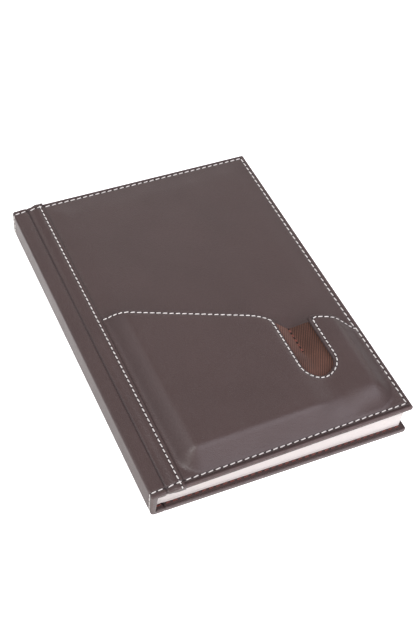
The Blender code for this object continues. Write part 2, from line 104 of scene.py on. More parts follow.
# Spine and creases
SPINE_ROUND = 0.0030
SPINE_LEAN = 0.0014  # how far the spine's upper edge stands out over its foot
SHOULDER_REACH = (0.0018, 0.0022)  # where its rounding starts, from the edge
FOOT_ROUND = 0.0025
SHOULDER_DROP, SHOULDER_ENDS = 0.0009, (0.6, 0.05)  # fall to the edge; shares of it that bend at its ends
SPINE_WALL = 0.0029  # leather, board and turned-in leather at the spine's ends
HIGH_LIP = BLOCK_HIGH + LEATHER
LOW_LIP = BACK_HINGE.z - BACK_RIM
BUTT = 0.0034  # spine face to where the spine's leather meets the back's
CREASE_DEPTH, CREASE_WIDTH, CREASE_SHADE = 0.0006, 0.00055, 0.4
CREASE_NOTCH = 0.0002  # how far the leather's ends draw in at a crease
PINCH = 0.0012  # half width of the thin leather at a crease
PINCH_DEPTH, BACK_PINCH_DEPTH = 0.0019, 0.0028
FLAP = 0.00045  # turned-in leather, skived thin
END_TURN = 0.0014  # turned-in leather at the spine's ends
HINGE_SAG = 0.00015  # of the lining between the spine and the back's crease
HINGE_GAPS = (0.0002, 0.0003)  # from that lining to the spine's leather and to the crease
LEATHER_BEND = 0.0013  # half width of the leather that folds at a crease

# Strip sewn over the spine side of the front
STRIP_EDGE = 0.0197
STRIP_LAP, STRIP_RAMP, STRIP_RISE = 0.0043, 0.0045, 0.0012  # how it climbs over the front leather's edge
STRIP_END = 0.0005  # how far it stands out at head and tail
STRIP_SEAM = STRIP_EDGE - 0.0024
CUT_ROUND = 0.0003

# Pocket, measured from the spine face and from the tail edge
POCKET_LEFT = STRIP_EDGE + 0.00005
POCKET_RIGHT = 0.1708
POCKET_TAIL = 0.0023
POCKET_FLANGE = 0.0018
PHONE_LEFT, PHONE_RIGHT = 0.03415, 0.1101
NOTCH_CENTRE = 0.1284
PEN_LEFT, PEN_RIGHT = 0.1467, 0.1507
PHONE_ROOM, VALLEY_ROOM, PEN_ROOM = 0.0092, 0.0066, 0.0100
TAIL_SLOPE, PEN_TAIL_SLOPE = 0.0135, 0.020  # the pen side rounds off towards the tail
STRIP_SIDE_ENDS = (0.24, 0.01)  # shares of a slope that bend at its foot and at its top
PEN_SIDE_ENDS = (0.12, 0.40)
TAIL_ENDS = (0.10, 0.24)
PEN_TAIL_ENDS = (0.10, 0.01)
PEN_TAIL_POWER = 2.8
CORNER_POWER = 2.0  # how the slopes turn round the pocket's corners: 2 is a circle
MOUTH_HEIGHT, MOUTH_SLOPE, MOUTH_FLARE = 0.1301, -0.41, 0.002
NOTCH_WIDTH, NOTCH_BOTTOM = 0.0208, 0.0369
LEFT_LIP, LEFT_LIP_RUN = 0.0035, 0.014  # the mouth bends down this far over this run to the notch
RIGHT_LIP = 0.0035  # rounding of the notch's other corner
NOTCH_ROLL, NOTCH_ROLL_DROP = 0.0020, 0.0014  # width and depth of the edge that rolls into the notch
MOUTH_DROOP = 0.0003

# The pocket's cloth, and the divider: the seam between its two compartments
CLOTH = 0.0004
CLOTH_GAP = 0.0006
CLOTH_DROP = 0.003  # the mouth's edge to the cloth's
CLOTH_SINK, CLOTH_SINK_RUN = 0.0022, 0.006  # cloth below the notch's rolled edge, and how far out
CLOTH_LEFT, CLOTH_RIGHT, CLOTH_TAIL = 0.027, 0.1645, 0.0105
DIVIDER_LENGTH = 0.020
DIVIDER_DROP = 0.0004  # the cloth's edge to the divider's upper end
DIVIDER_HOLE = 0.0008  # half width of its needle holes
DIVIDER_RUN, DIVIDER_FADE = 0.0125, 0.022  # where the cloth hangs free beside the divider and below it
DIVIDER_ENDS = (0.1, 0.4)  # shares of the cloth's rise beside it that bend
PRESS_DEPTH, PRESS_WIDTH = 0.0016, 0.0048  # how the divider draws the padding in
PEN_SIDE_PAINTED_SHADE = 0.55  # painted shade on the cloth on the pen side of the divider, a darker copy of its colours
PAINTED_SHADE_BELOW = 0.7  # share of that painted shade below the divider
PAINTED_SHADE_FADE = (-0.004, 0.006)  # where that painted shade sets in, from the divider's lower end

# Seams
HEAD_SEAM, TAIL_SEAM = 0.0030, 0.0036  # edge to seam; the fore seam drifts from one to the other
INNER_SEAM = 0.0032
MOUTH_SEAM = 0.0021
SEAM_DIP, SEAM_DIP_WIDTH = 0.00036, 0.0009
HOLE_SHADE, HOLE_WIDTH = 0.9, 0.00042  # dark needle holes between stitches
CREASE_GAP = 0.0009  # crease to the nearest stitch
LAP_GAP = 0.0006  # a cut edge to the stitches on either side of it
STRIP_GAP = 0.0008  # the strip's edge to the edge seam on the cover
MOUTH_SEAM_ENDS = (0.0004, 0.0002)  # the pocket's sides to the ends of the mouth's seam
STITCH_PITCH, STRIP_PITCH, DIVIDER_PITCH = 0.0046, 0.0038, 0.0040
MOUTH_PITCH, NOTCH_PITCH = 0.0040, 0.0035
STITCH_SHARE, INNER_SHARE, DIVIDER_SHARE = 0.84, 0.75, 0.55  # of its pitch that a stitch takes up
STITCH_WIDTH, STITCH_HEIGHT = 0.00080, 0.00032
STITCH_SLANT = math.radians(7)
SLANT_SPREAD, SIZE_SPREAD = 0.02, (0.95, 1.05)  # how single stitches differ

# Paper
SECTIONS = 8
TURNING_SECTIONS = 4
LEAVES = 6  # visible leaves at the edge of a section
LEAF_GAP = 0.00002
LEAF_SHIFT = 0.00012
PAGE_RISE = 0.0008  # the pages spring up under the cover
SHEET = 0.00012
PASTEDOWN_LEVEL = FRONT_RIM - 0.00010
FLYLEAF_LEVEL = FRONT_RIM - 0.00028
PAPER_BEND = (-0.0060, 0.0090)  # the stretch of a leaf that bends when it turns
GUTTER, GUTTER_RUN = 0.0006, 0.0020  # where the endpapers come down to the pages
FLYLEAF_LIFT, PASTEDOWN_LIFT = 0.00004, 0.00018  # over the pages in the gutter

# Mesh steps
EDGE_STEP, EDGE_REACH = 0.0004, 0.0052  # at a panel's edges
FRONT_STEP, BACK_STEP = 0.0025, 0.0040
CREASE_STEP, CREASE_REACH = 0.0002, 0.0022
STRIP_STEP, SHELF_STEP = 0.00055, 0.00060
WRAP_ROWS = (0.0035, 0.05, 0.045)  # end step, middle step and reach, as shares of half the height
WRAP_DEPTH = 0.004  # of the leather round the spine, in its resting coordinates
BACK_CREASE = (-0.0020, 0.0022, 0.00025)  # from, to and step over the back's crease
BACK_FIELD = 0.0024  # where the back's wider steps start
LINING_ROWS = (0.0006, 0.004, 0.003)
NET_STEP, NET_THIN = 0.0014, 0.003  # grid; rings further in than the second keep every other point
NET_INSETS = (0.0, 0.00035, 0.0008, 0.0013, 0.0017, 0.0021, 0.0025, 0.0029, 0.0035, 0.0042)

# Tones; where there are two, light and dark
LEATHER_TONE, LINING_TONE = (0.0635, 0.0385, 0.0358), (0.055, 0.033, 0.031)
EDGE_PAINT_AND_SHADE_TONE = (0.010, 0.008, 0.009)  # edge paint on cut edges, and painted shade in creases, edge grooves and needle holes
TWILL_TONES = ((0.215, 0.092, 0.063), (0.078, 0.039, 0.029))
# painted shade in the needle holes of the cloth's divider
TWILL_HOLE_SHADE_TONE = (0.012, 0.006, 0.006)
WHITE_TONES = ((0.95, 0.92, 0.89), (0.68, 0.63, 0.59))
RUSSET_TONES = ((0.36, 0.10, 0.075), (0.12, 0.028, 0.022))
PAPER_TONE, ENDPAPER_TONE = (0.71, 0.655, 0.625), (0.88, 0.82, 0.76)
BOARD_TONES = ((0.40, 0.38, 0.35), (0.28, 0.26, 0.24))
GAUZE_TONES = ((0.76, 0.74, 0.70), (0.55, 0.53, 0.50))

# Camera
CAMERA_AIM = Vector((0.00463, -0.00109, 0.0120))
CAMERA_RANGE = 0.74734
CAMERA_TURN = math.radians(33.889)
CAMERA_RISE = math.radians(48.256)
CAMERA_ROLL = math.radians(11.645)
CAMERA_LENS = 65.503

# Set
FLOOR_HALF = 6.0
FLOOR_DROP = 0.0004
FLOOR_TONE = 0.90
FLOOR_GLOW = 0.7
WORLD_GLOW = (  # axis, two heights of a direction along it, and the light's strength at each
    ("Z", -0.6, -0.2, 2.9, 0.20),
    ("Z", -0.92, -0.78, 0.1, 1.0),
    ("Y", -0.6, 0.6, 1.5, 0.6),
)
LIGHTS = (  # name, place, size, power and colour
    ("front_softbox", (0.50, -0.78, 1.03), (1.5, 1.15), 17.5, (0.92, 0.90, 1.0)),
    ("head_softbox", (0.31, 1.13, 0.76), (0.8, 0.5), 3.2, (1.0, 1.0, 1.0)),
    ("corner_softbox", (-1.32, -0.35, 1.46), (0.85, 0.85), 27.5, (1.0, 1.0, 1.0)),
    ("left_softbox", (-1.66, 0.98, 1.07), (1.6, 2.2), 9.5, (0.88, 0.90, 1.0)),
    ("fore_softbox", (1.10, 0.72, 0.46), (0.6, 0.5), 2.4, (1.0, 1.0, 1.0)),
)

rng = np.random.default_rng(7)


def along(distance):
    """Distance from the spine face, as u."""
    return distance - HINGE_INSET


def from_tail(distance):
    return distance - HALF


def smooth(share):
    share = np.clip(share, 0.0, 1.0)
    return share * share * (3.0 - 2.0 * share)


def bend(share, low, high):
    """A straight rise from 0 to 1 with rounded ends that take up these shares of its length."""
    share = np.clip(share, 0.0, 1.0)
    full = 1.0 - (low + high) / 2
    start = share**2 / (2 * low)
    end = full - (1.0 - share) ** 2 / (2 * high)
    return np.where(share < low, start, np.where(share > 1.0 - high, end, share - low / 2)) / full


def dome(share):
    """A rise that is steep above its rounded foot and level at its top."""
    return np.sin(math.pi / 2 * bend(share, *STRIP_SIDE_ENDS))


def dip(distance, depth, width):
    """A rounded groove at distance 0."""
    return depth * np.exp(-np.square(distance / width))


def graded(low, high, fine, coarse, reach):
    """Values from low to high, a fine step apart within reach of both ends."""
    ends = np.arange(0.0, reach - fine / 2, fine)
    count = max(1, round((high - low - 2 * reach) / coarse))
    middle = np.linspace(low + reach, high - reach, count + 1)
    return np.concatenate([low + ends, middle, (high - ends)[::-1]])


def front(points):
    """Points of the front cover's frame in the row frame."""
    u, y, w = np.moveaxis(np.asarray(points, float), -1, 0)
    lean, lift = math.cos(COVER_TILT), math.sin(COVER_TILT)
    return np.stack([FRONT_HINGE.x + u * lean - w * lift, y, FRONT_HINGE.z + u * lift + w * lean], axis=-1)


def front_profile(u, w):
    """x and z of a line across the front cover."""
    return front(np.stack([u, 0 * u, 0 * u + w], axis=1))[:, [0, 2]]


def back(points):
    """Points of the back cover's frame in the row frame."""
    u, y, w = np.moveaxis(np.asarray(points, float), -1, 0)
    return np.stack([BACK_HINGE.x + u, y, BACK_HINGE.z - w], axis=-1)


# Materials


def add_node(tree, kind, inputs=None, **settings):
    """A new node with its settings, and with its inputs set or linked."""
    made = tree.nodes.new(kind)
    for key, value in settings.items():
        setattr(made, key, value)
    for key, value in (inputs or {}).items():
        if isinstance(value, bpy.types.NodeSocket):
            tree.links.new(value, made.inputs[key])
        else:
            made.inputs[key].default_value = value
    return made


class Look:
    """A Principled material whose nodes read the piece's own resting coordinates."""

    def __init__(self, name, roughness, specular=0.5):
        self.material = bpy.data.materials.new(name)
        self.material.use_nodes = True
        self.tree = self.material.node_tree
        self.shader = self.tree.nodes["Principled BSDF"]
        self.shader.inputs["Roughness"].default_value = roughness
        self.shader.inputs["Specular IOR Level"].default_value = specular
        self.place = self.node("ShaderNodeAttribute", attribute_name="rest").outputs["Vector"]

    def node(self, kind, inputs=None, **settings):
        return add_node(self.tree, kind, inputs, **settings)

    def mapped(self, **settings):
        """The resting coordinates, scaled or turned."""
        inputs = {"Vector": self.place, **{key.title(): value for key, value in settings.items()}}
        return self.node("ShaderNodeMapping", inputs).outputs["Vector"]

    def noise(self, scale, detail=3.0, vector=None, rough=0.5):
        settings = {"Vector": vector or self.place, "Scale": scale, "Detail": detail, "Roughness": rough}
        return self.node("ShaderNodeTexNoise", settings).outputs["Fac"]

    def cells(self, scale):
        settings = {"Vector": self.place, "Scale": scale}
        made = self.node("ShaderNodeTexVoronoi", settings, feature="SMOOTH_F1")
        return made.outputs["Distance"]

    def bands(self, scale, vector, distortion=0.0):
        settings = {"Vector": vector, "Scale": scale, "Distortion": distortion, "Detail": 1.0}
        return self.node("ShaderNodeTexWave", settings, bands_direction="X").outputs["Fac"]

    def value(self, operation, first, second):
        return self.node("ShaderNodeMath", {0: first, 1: second}, operation=operation).outputs[0]

    def ranged(self, factor, low, high, start=0.0, end=1.0):
        settings = {"Value": factor, "From Min": start, "From Max": end, "To Min": low, "To Max": high}
        return self.node("ShaderNodeMapRange", settings).outputs["Result"]

    def mixed(self, factor, first, second):
        """A colour between two, each a tuple or another mix."""
        made = self.node("ShaderNodeMix", data_type="RGBA")
        sockets = [s for s in made.inputs if s.type == "RGBA"]
        self.tree.links.new(factor, made.inputs[0])
        for socket, colour in zip(sockets, (first, second)):
            if isinstance(colour, bpy.types.NodeSocket):
                self.tree.links.new(colour, socket)
            else:
                socket.default_value = (*colour, 1.0)
        return next(s for s in made.outputs if s.type == "RGBA")

    def attribute(self, name):
        return self.node("ShaderNodeAttribute", attribute_name=name).outputs["Fac"]

    def set(self, **sockets):
        names = {"colour": "Base Color", "roughness": "Roughness"}
        for key, output in sockets.items():
            self.tree.links.new(output, self.shader.inputs[names[key]])
        return self

    def bump(self, height, distance, strength=1.0, under=None):
        settings = {"Height": height, "Distance": distance, "Strength": strength}
        if under is not None:
            settings["Normal"] = under
        made = self.node("ShaderNodeBump", settings).outputs["Normal"]
        self.tree.links.new(made, self.shader.inputs["Normal"])
        return made


def toned(colour, factor):
    return tuple(factor * part for part in colour)


def leather_look(name, colour, roughness, gloss):
    """Smooth brown leather: fine pebbled grain, faint mottling, paler worn edges with a painted highlight,
    dark painted cuts, and painted shade in creases, edge grooves and needle holes.
    """
    look = Look(name, roughness, gloss)
    dark = toned(colour, 0.95)
    mottle = look.ranged(look.noise(24.0), 0.0, 1.0, 0.35, 0.65)
    pores = look.ranged(look.cells(1500.0), 0.0, 1.0, 0.0, 0.6)
    tone = look.mixed(mottle, dark, toned(colour, 1.05))
    tone = look.mixed(look.value("MULTIPLY", pores, 0.30), tone, toned(colour, 0.6))
    rubbed = look.ranged(look.noise(260.0), 0.3, 0.8, 0.4, 0.6)
    # paler where worn, with a painted highlight on the covers' edges
    tone = look.mixed(look.value("MULTIPLY", look.attribute("wear_and_highlight"), rubbed), tone, toned(colour, 1.7))
    # edge paint on cut edges, and painted shade in creases, edge grooves and needle holes
    tone = look.mixed(look.attribute("shade"), tone, EDGE_PAINT_AND_SHADE_TONE)
    matt = look.ranged(look.noise(70.0, 2.0), roughness - 0.03, roughness + 0.03, 0.3, 0.7)
    look.set(colour=tone, roughness=matt)
    creases = look.bump(look.noise(420.0, 5.0, rough=0.6), 0.00016, 0.6)
    look.bump(pores, 0.00012, 0.9, creases)
    return look.material


def from_divider(look):
    """Distances across and down from the upper end of the seam that divides the pocket."""
    place = look.node("ShaderNodeSeparateXYZ", {0: look.place}).outputs
    seam, top = divider_start()
    return look.value("SUBTRACT", place["X"], seam), look.value("SUBTRACT", float(top), place["Y"])


def needle_hole_shade(look, across, down):
    """1 in the painted shade of the needle holes between the divider's stitches."""
    aside = look.value("ABSOLUTE", across, 0.0)
    beat = look.value("COSINE", look.value("MULTIPLY", down, 2 * math.pi / DIVIDER_PITCH), 0.0)
    near = look.ranged(aside, 1.0, 0.0, 0.4 * DIVIDER_HOLE, DIVIDER_HOLE)
    hole = look.value("MULTIPLY", near, look.ranged(beat, 0.0, 1.0, 0.0, 0.5))
    return look.value("MULTIPLY", hole, look.value("LESS_THAN", down, DIVIDER_LENGTH))


def painted_shade_side(look, across, down):
    """Painted shade: 0 on the phone side of the divider, 1 on its pen side, and between them below it."""
    side = look.ranged(across, 0.0, 1.0, -DIVIDER_HOLE, 2 * DIVIDER_HOLE)
    beside = look.ranged(down, 1.0, 0.0, *(DIVIDER_LENGTH + fade for fade in PAINTED_SHADE_FADE))
    change = look.value("MULTIPLY", look.value("SUBTRACT", side, PAINTED_SHADE_BELOW), beside)
    return look.value("ADD", change, PAINTED_SHADE_BELOW)


def twill_look(name, light, dark):
    """Ribbed cloth: slanting ribs of uneven yarn over a darker ground, with painted shade on the pen side of
    the divider and in its needle holes.
    """
    look = Look(name, 0.85, 0.25)
    ribs = look.bands(235.0, look.mapped(rotation=(0.0, 0.0, math.radians(28.8))), 0.3)
    weft = look.bands(300.0, look.mapped(rotation=(0.0, 0.0, math.radians(-58))), 0.6)
    cloth = look.value("MULTIPLY", ribs, look.ranged(weft, 0.6, 1.0))
    patches = look.ranged(look.noise(160.0, 4.0), 0.75, 1.1, 0.35, 0.65)
    yarn = look.value("MULTIPLY", cloth, patches)
    # a darker copy of the cloth, painted shade for the pen side of the divider
    shaded_cloth = look.mixed(yarn, toned(dark, PEN_SIDE_PAINTED_SHADE), toned(light, PEN_SIDE_PAINTED_SHADE))
    place = from_divider(look)
    tone = look.mixed(painted_shade_side(look, *place), look.mixed(yarn, dark, light), shaded_cloth)
    # painted shade in the divider's needle holes
    look.set(colour=look.mixed(needle_hole_shade(look, *place), tone, TWILL_HOLE_SHADE_TONE))
    look.bump(cloth, 0.00018, 0.8)
    look.shader.inputs["Sheen Weight"].default_value = 0.1
    look.shader.inputs["Sheen Roughness"].default_value = 0.5
    return look.material


def paper_look(name, colour):
    """Uncoated paper: soft fibres, and leaf lines on the cut edges."""
    look = Look(name, 0.8, 0.3)
    shade = toned(colour, 0.90)
    fibres = look.ranged(look.noise(2200.0, 2.0), 0.0, 0.5, 0.4, 0.7)
    tone = look.mixed(fibres, colour, shade)
    lines = look.noise(1.0, 2.0, look.mapped(scale=(60.0, 60.0, 9000.0)))
    tone = look.mixed(look.ranged(lines, 0.0, 0.55, 0.45, 0.75), tone, shade)
    look.set(colour=tone)
    look.bump(lines, 0.00008, 0.6)
    return look.material


def thread_look(name, light, dark):
    """Twisted thread: slanting plies that run round each stitch."""
    look = Look(name, 0.55, 0.4)
    plies = look.bands(1.6, look.place)
    fuzz = look.noise(9.0)
    shade = look.value("MULTIPLY", plies, look.ranged(fuzz, 0.6, 1.0, 0.3, 0.7))
    look.set(colour=look.mixed(shade, dark, light))
    look.bump(plies, 0.00012, 0.7)
    return look.material


def plain_look(name, light, dark, scale, roughness):
    """Matt stock with a fine uneven surface, for board and gauze."""
    look = Look(name, roughness, 0.3)
    place = look.node("ShaderNodeTexCoord").outputs["Object"]
    grain = look.noise(scale, 5.0, place, 0.65)
    look.set(colour=look.mixed(look.ranged(grain, 0.0, 1.0, 0.35, 0.65), dark, light))
    look.bump(grain, 0.0001, 0.7)
    return look.material


# Pieces


def linked(name, data):
    """A new object in the scene."""
    made = bpy.data.objects.new(name, data)
    bpy.context.scene.collection.objects.link(made)
    return made


def piece(name, verts, faces, look, slot, rest=None, wear_and_highlight=None, shade=None, sharp=35.0):
    """A mesh piece with its resting coordinates, worn edges with their painted highlight, and dark cuts and
    painted shade, kept for its material.
    """
    mesh = bpy.data.meshes.new(name)
    mesh.from_pydata(np.asarray(verts, float).tolist(), [], faces)
    stored = mesh.attributes.new("rest", "FLOAT_VECTOR", "POINT")
    stored.data.foreach_set("vector", np.asarray(verts if rest is None else rest, np.float32).ravel())
    for key, values in (("wear_and_highlight", wear_and_highlight), ("shade", shade)):
        stored = mesh.attributes.new(key, "FLOAT", "POINT")
        values = np.zeros(len(verts)) if values is None else values
        stored.data.foreach_set("value", np.asarray(values, np.float32))
    mesh.materials.append(look)
    mesh.shade_smooth()
    mesh.set_sharp_from_angle(angle=math.radians(sharp))
    return linked(name, mesh)


def face_outward(made):
    """Turns a closed piece's faces outwards."""
    mesh = bmesh.new()
    mesh.from_mesh(made.data)
    bmesh.ops.recalc_face_normals(mesh, faces=mesh.faces)
    mesh.to_mesh(made.data)
    mesh.free()
    return made


def bent(made, body, hinge, start, end):
    """Bakes a piece's placement into its mesh; it does not bend the piece, and body, hinge, start and end
    are not used.
    """
    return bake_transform(made)


def quads(rows, columns, first=0, closed=False):
    """Faces over a rows by columns array of vertices; closed joins the last column to the first."""
    at = first + np.arange(rows * columns).reshape(rows, columns)
    if closed:
        at = np.column_stack([at, at[:, 0]])
    return np.stack([at[:-1, :-1], at[1:, :-1], at[1:, 1:], at[:-1, 1:]], axis=-1).reshape(-1, 4).tolist()


def trimmed(*corners):
    """A face without corners that repeat."""
    return tuple(c for c, before in zip(corners, (corners[-1], *corners)) if c != before)


def run_along(line):
    """Distance along a line to each of its points."""
    return np.concatenate([[0.0], np.cumsum(np.linalg.norm(np.diff(line, axis=0), axis=1))])


def at_run(run, values, place):
    """Values along a line at a place, or places, of its run."""
    return np.stack([np.interp(place, run, column) for column in values.T], axis=-1)


def respaced(line, step):
    """Points along a line, evenly spaced, ends kept."""
    run = run_along(line)
    return at_run(run, line, np.linspace(0.0, run[-1], max(2, round(run[-1] / step) + 1)))


def caps(rows, columns):
    """Faces over both ends of a tube of rows by columns vertices."""
    last = (rows - 1) * columns
    return [tuple(range(columns)), tuple(last + k for k in reversed(range(columns)))]


def slab(top, thickness):
    """Vertices and faces of a sheet: a grid of points, the same grid below and the edges between."""
    wide, tall = top.shape[:2]
    size = wide * tall
    verts = np.concatenate([top.reshape(-1, 3), (top - [0.0, 0.0, thickness]).reshape(-1, 3)])
    faces = [face[::-1] for face in quads(wide, tall)] + quads(wide, tall, size)
    at = np.arange(size).reshape(wide, tall)
    ring = np.concatenate([at[:, 0], at[-1, 1:], at[-2::-1, -1], at[0, -2:0:-1]]).tolist()
    for a, b in zip(ring, ring[1:] + ring[:1]):
        faces.append((a, b, size + b, size + a))
    return verts, faces


# Front cover's surfaces, as heights w over (u, y)


def seam_inset(y):
    """Cover edge to edge seam."""
    return HEAD_SEAM + (TAIL_SEAM - HEAD_SEAM) * (HALF - y) / (2 * HALF)


def inside_seam(u, y):
    """Distance inwards from the seam round the cover's edge."""
    ends = np.minimum(HALF - HEAD_SEAM - y, HALF - TAIL_SEAM + y)
    return np.minimum(COVER_END - seam_inset(y) - u, ends)


def seam_dip(distance):
    """Depth of the leather pressed in along a seam at distance 0."""
    return dip(distance, SEAM_DIP, SEAM_DIP_WIDTH)


def holes(distance):
    """Shade of the needle holes along a seam at distance 0."""
    return dip(distance, HOLE_SHADE, HOLE_WIDTH)


def pressed(u, y):
    """Padding drawn in round the seam that divides the pocket."""
    seam = along(NOTCH_CENTRE)
    top = cloth_edge(seam)
    beyond = np.maximum(np.maximum(y - top, top - DIVIDER_LENGTH - y), 0.0)
    return dip(np.hypot(u - seam, beyond), PRESS_DEPTH, PRESS_WIDTH)


def padded_face(u, y):
    swell = smooth(np.minimum(u - along(STRIP_EDGE), inside_seam(u, y)) / CROWN_RUN)
    across = np.sin(u / WAVE_LENGTHS[0] + WAVE_SWAY[0] * np.sin(y / WAVE_DRIFTS[0]))
    waves = across * np.sin(y / WAVE_LENGTHS[1] + WAVE_SWAY[1] * np.sin(u / WAVE_DRIFTS[1]))
    return FACE + CROWN * swell + UNEVEN * waves * swell - pressed(u, y)


def panel_face(u, y):
    return padded_face(u, y) - seam_dip(inside_seam(u, y))


def mouth_line(u):
    """y of the pocket's slanting top edge, which flares up where it climbs from the strip."""
    flare = MOUTH_FLARE * (1 - smooth((u - along(POCKET_LEFT)) / (PHONE_LEFT - POCKET_LEFT)))
    return from_tail(MOUTH_HEIGHT + MOUTH_SLOPE * (u - along(STRIP_EDGE)) + flare)


def room_across(u):
    """Room under the pocket's level top: phone side, valley at the notch, pen side."""
    place = u + HINGE_INSET
    fall = smooth((place - PHONE_RIGHT) / (NOTCH_CENTRE - PHONE_RIGHT))
    climb = smooth((place - NOTCH_CENTRE) / (PEN_LEFT - NOTCH_CENTRE))
    return PHONE_ROOM + (VALLEY_ROOM - PHONE_ROOM) * fall + (PEN_ROOM - VALLEY_ROOM) * climb


def pocket_rise(u, y):
    """0 outside the pocket's foot and 1 on its level top, with slopes that turn round the corners."""
    place = u + HINGE_INSET
    pen_side = smooth((place - PHONE_RIGHT) / (PEN_LEFT - PHONE_RIGHT))
    slope = TAIL_SLOPE + (PEN_TAIL_SLOPE - TAIL_SLOPE) * pen_side
    left = np.clip((PHONE_LEFT - place) / (PHONE_LEFT - POCKET_LEFT), 0.0, None)
    right = np.clip((place - PEN_RIGHT) / (POCKET_RIGHT - POCKET_FLANGE - PEN_RIGHT), 0.0, None)
    tail = np.clip((from_tail(POCKET_TAIL + POCKET_FLANGE) + slope - y) / slope, 0.0, None)
    side = left + right
    inward = 1 - (side**CORNER_POWER + tail**CORNER_POWER) ** (1 / CORNER_POWER)
    at_side = np.where(right > 0, bend(inward, *PEN_SIDE_ENDS), dome(inward))
    folded = bend(inward, *TAIL_ENDS)
    rounded = 1 - (1 - bend(inward, *PEN_TAIL_ENDS)) ** PEN_TAIL_POWER
    at_tail = folded + (rounded - folded) * pen_side
    return at_side + (at_tail - at_side) * tail**2 / (side**2 + tail**2 + 1e-9)


def formed_face(u, y):
    """The pocket's face without its edges and seams."""
    return padded_face(u, y) + SKIN + room_across(u) * pocket_rise(u, y)


def notch_gap(u, y):
    """Distance from the notch's edge: negative inside the notch."""
    foot = from_tail(NOTCH_BOTTOM) + NOTCH_WIDTH / 2
    return np.hypot(u - along(NOTCH_CENTRE), np.minimum(0.0, y - foot)) - NOTCH_WIDTH / 2


def rounded_corner(start, corner, end):
    """A curve from start to end that turns at corner."""
    start, corner, end = (np.array(place, float) for place in (start, corner, end))
    t = np.linspace(0.0, 1.0, 14)[:, None]
    return (1 - t) ** 2 * start + 2 * t * (1 - t) * corner + t * t * end


def notch_line(grow, step=0.0008):
    """The notch's edge from its left lip down, round and up to its right lip, moved outwards by grow."""
    centre, half = along(NOTCH_CENTRE), NOTCH_WIDTH / 2 + grow
    left, right = centre - half, centre + half
    foot = from_tail(NOTCH_BOTTOM) + NOTCH_WIDTH / 2

    def on_mouth(u, drop=0.0):
        return u, mouth_line(u) - grow - drop

    bend_start, bend_middle = on_mouth(left - LEFT_LIP_RUN), on_mouth(left - LEFT_LIP_RUN / 2.5)
    left_lip = rounded_corner(bend_start, bend_middle, on_mouth(left, LEFT_LIP))
    right_lip = rounded_corner(on_mouth(right, RIGHT_LIP), on_mouth(right), on_mouth(right + RIGHT_LIP))
    turns = np.linspace(math.pi, 2 * math.pi, round(math.pi * half / step))
    arc = np.stack([centre + half * np.cos(turns), foot + half * np.sin(turns)], axis=1)
    return respaced(np.concatenate([left_lip, arc, right_lip]), step)


def mouth_run(start, end, inset, step=0.0010):
    """The mouth's edge between two places, moved down by inset."""
    u = np.linspace(start, end, max(2, round(abs(end - start) / step)))
    return np.stack([u, mouth_line(u) - inset], axis=1)


def pocket_ring(inset, step=0.0010):
    """The pocket's outline, closed, moved inwards by inset."""
    left, right = along(POCKET_LEFT) + inset, along(POCKET_RIGHT) - inset
    tail = from_tail(POCKET_TAIL) + inset
    notch = notch_line(inset)
    pen_mouth = mouth_run(right, notch[-1, 0], inset)
    phone_mouth = mouth_run(notch[0, 0], left, inset)
    runs = [
        np.array([(left, tail), (right, tail)]), np.array([(right, tail), pen_mouth[0]]),
        pen_mouth, notch[::-1], phone_mouth, np.array([phone_mouth[-1], (left, tail)]),
    ]
    return np.concatenate([respaced(run, step)[:-1] for run in runs])


def nearest(points, line):
    """Distance from each point to the nearest of a line's points."""
    return np.concatenate([
        np.sqrt(((block[:, None] - line[None]) ** 2).sum(-1).min(1)) for block in np.array_split(points, 40)
    ])


NOTCH_EDGE = notch_line(0.0, 0.0003)


def from_edges(u, y):
    """Distances from the notch's edge and down from the mouth's edge."""
    u, y = np.broadcast_arrays(np.asarray(u, float), np.asarray(y, float))
    points = np.stack([u.ravel(), y.ravel()], axis=1)
    return nearest(points, NOTCH_EDGE).reshape(u.shape), np.maximum(mouth_line(u) - y, 0.0)


def from_seam(u, y):
    """Distance from the pocket's nearest seam, at its mouth, its notch or the cover's edge."""
    from_notch, from_mouth = from_edges(u, y)
    at_mouth = np.abs(np.minimum(from_notch, from_mouth) - MOUTH_SEAM)
    return np.minimum(at_mouth, np.abs(inside_seam(u, y)))


def pocket_face(u, y):
    """The pocket's face with its pressed seams, drooping mouth and rolled notch."""
    from_notch, from_mouth = from_edges(u, y)
    roll = NOTCH_ROLL_DROP * np.square(np.clip(1 - from_notch / NOTCH_ROLL, 0.0, 1.0))
    droop = MOUTH_DROOP * np.square(np.clip(1 - from_mouth / NOTCH_ROLL, 0.0, 1.0))
    return formed_face(u, y) - np.maximum(roll, droop) - seam_dip(from_seam(u, y))


def strip_lap(u):
    """0 where the strip lies on the cover, 1 where it laps over the front leather."""
    start = along(STRIP_EDGE - STRIP_LAP) - STRIP_RAMP
    return smooth((u - start) / STRIP_RAMP)


def strip_face(u):
    """The strip, with its seam pressed in and its cut edge rounded."""
    cut = 0.8 * CUT_ROUND * np.square(np.clip(1 - (along(STRIP_EDGE) - u) / CUT_ROUND, 0.0, 1.0))
    return FACE + STRIP_RISE * strip_lap(u) - cut - seam_dip(u - along(STRIP_SEAM))


def crease(u):
    return dip(u, CREASE_DEPTH, CREASE_WIDTH)


# Leather


def from_end_seams(y):
    """Distance from the seams at head and tail."""
    return np.minimum(np.abs(HALF - HEAD_SEAM - y), np.abs(HALF - TAIL_SEAM + y))


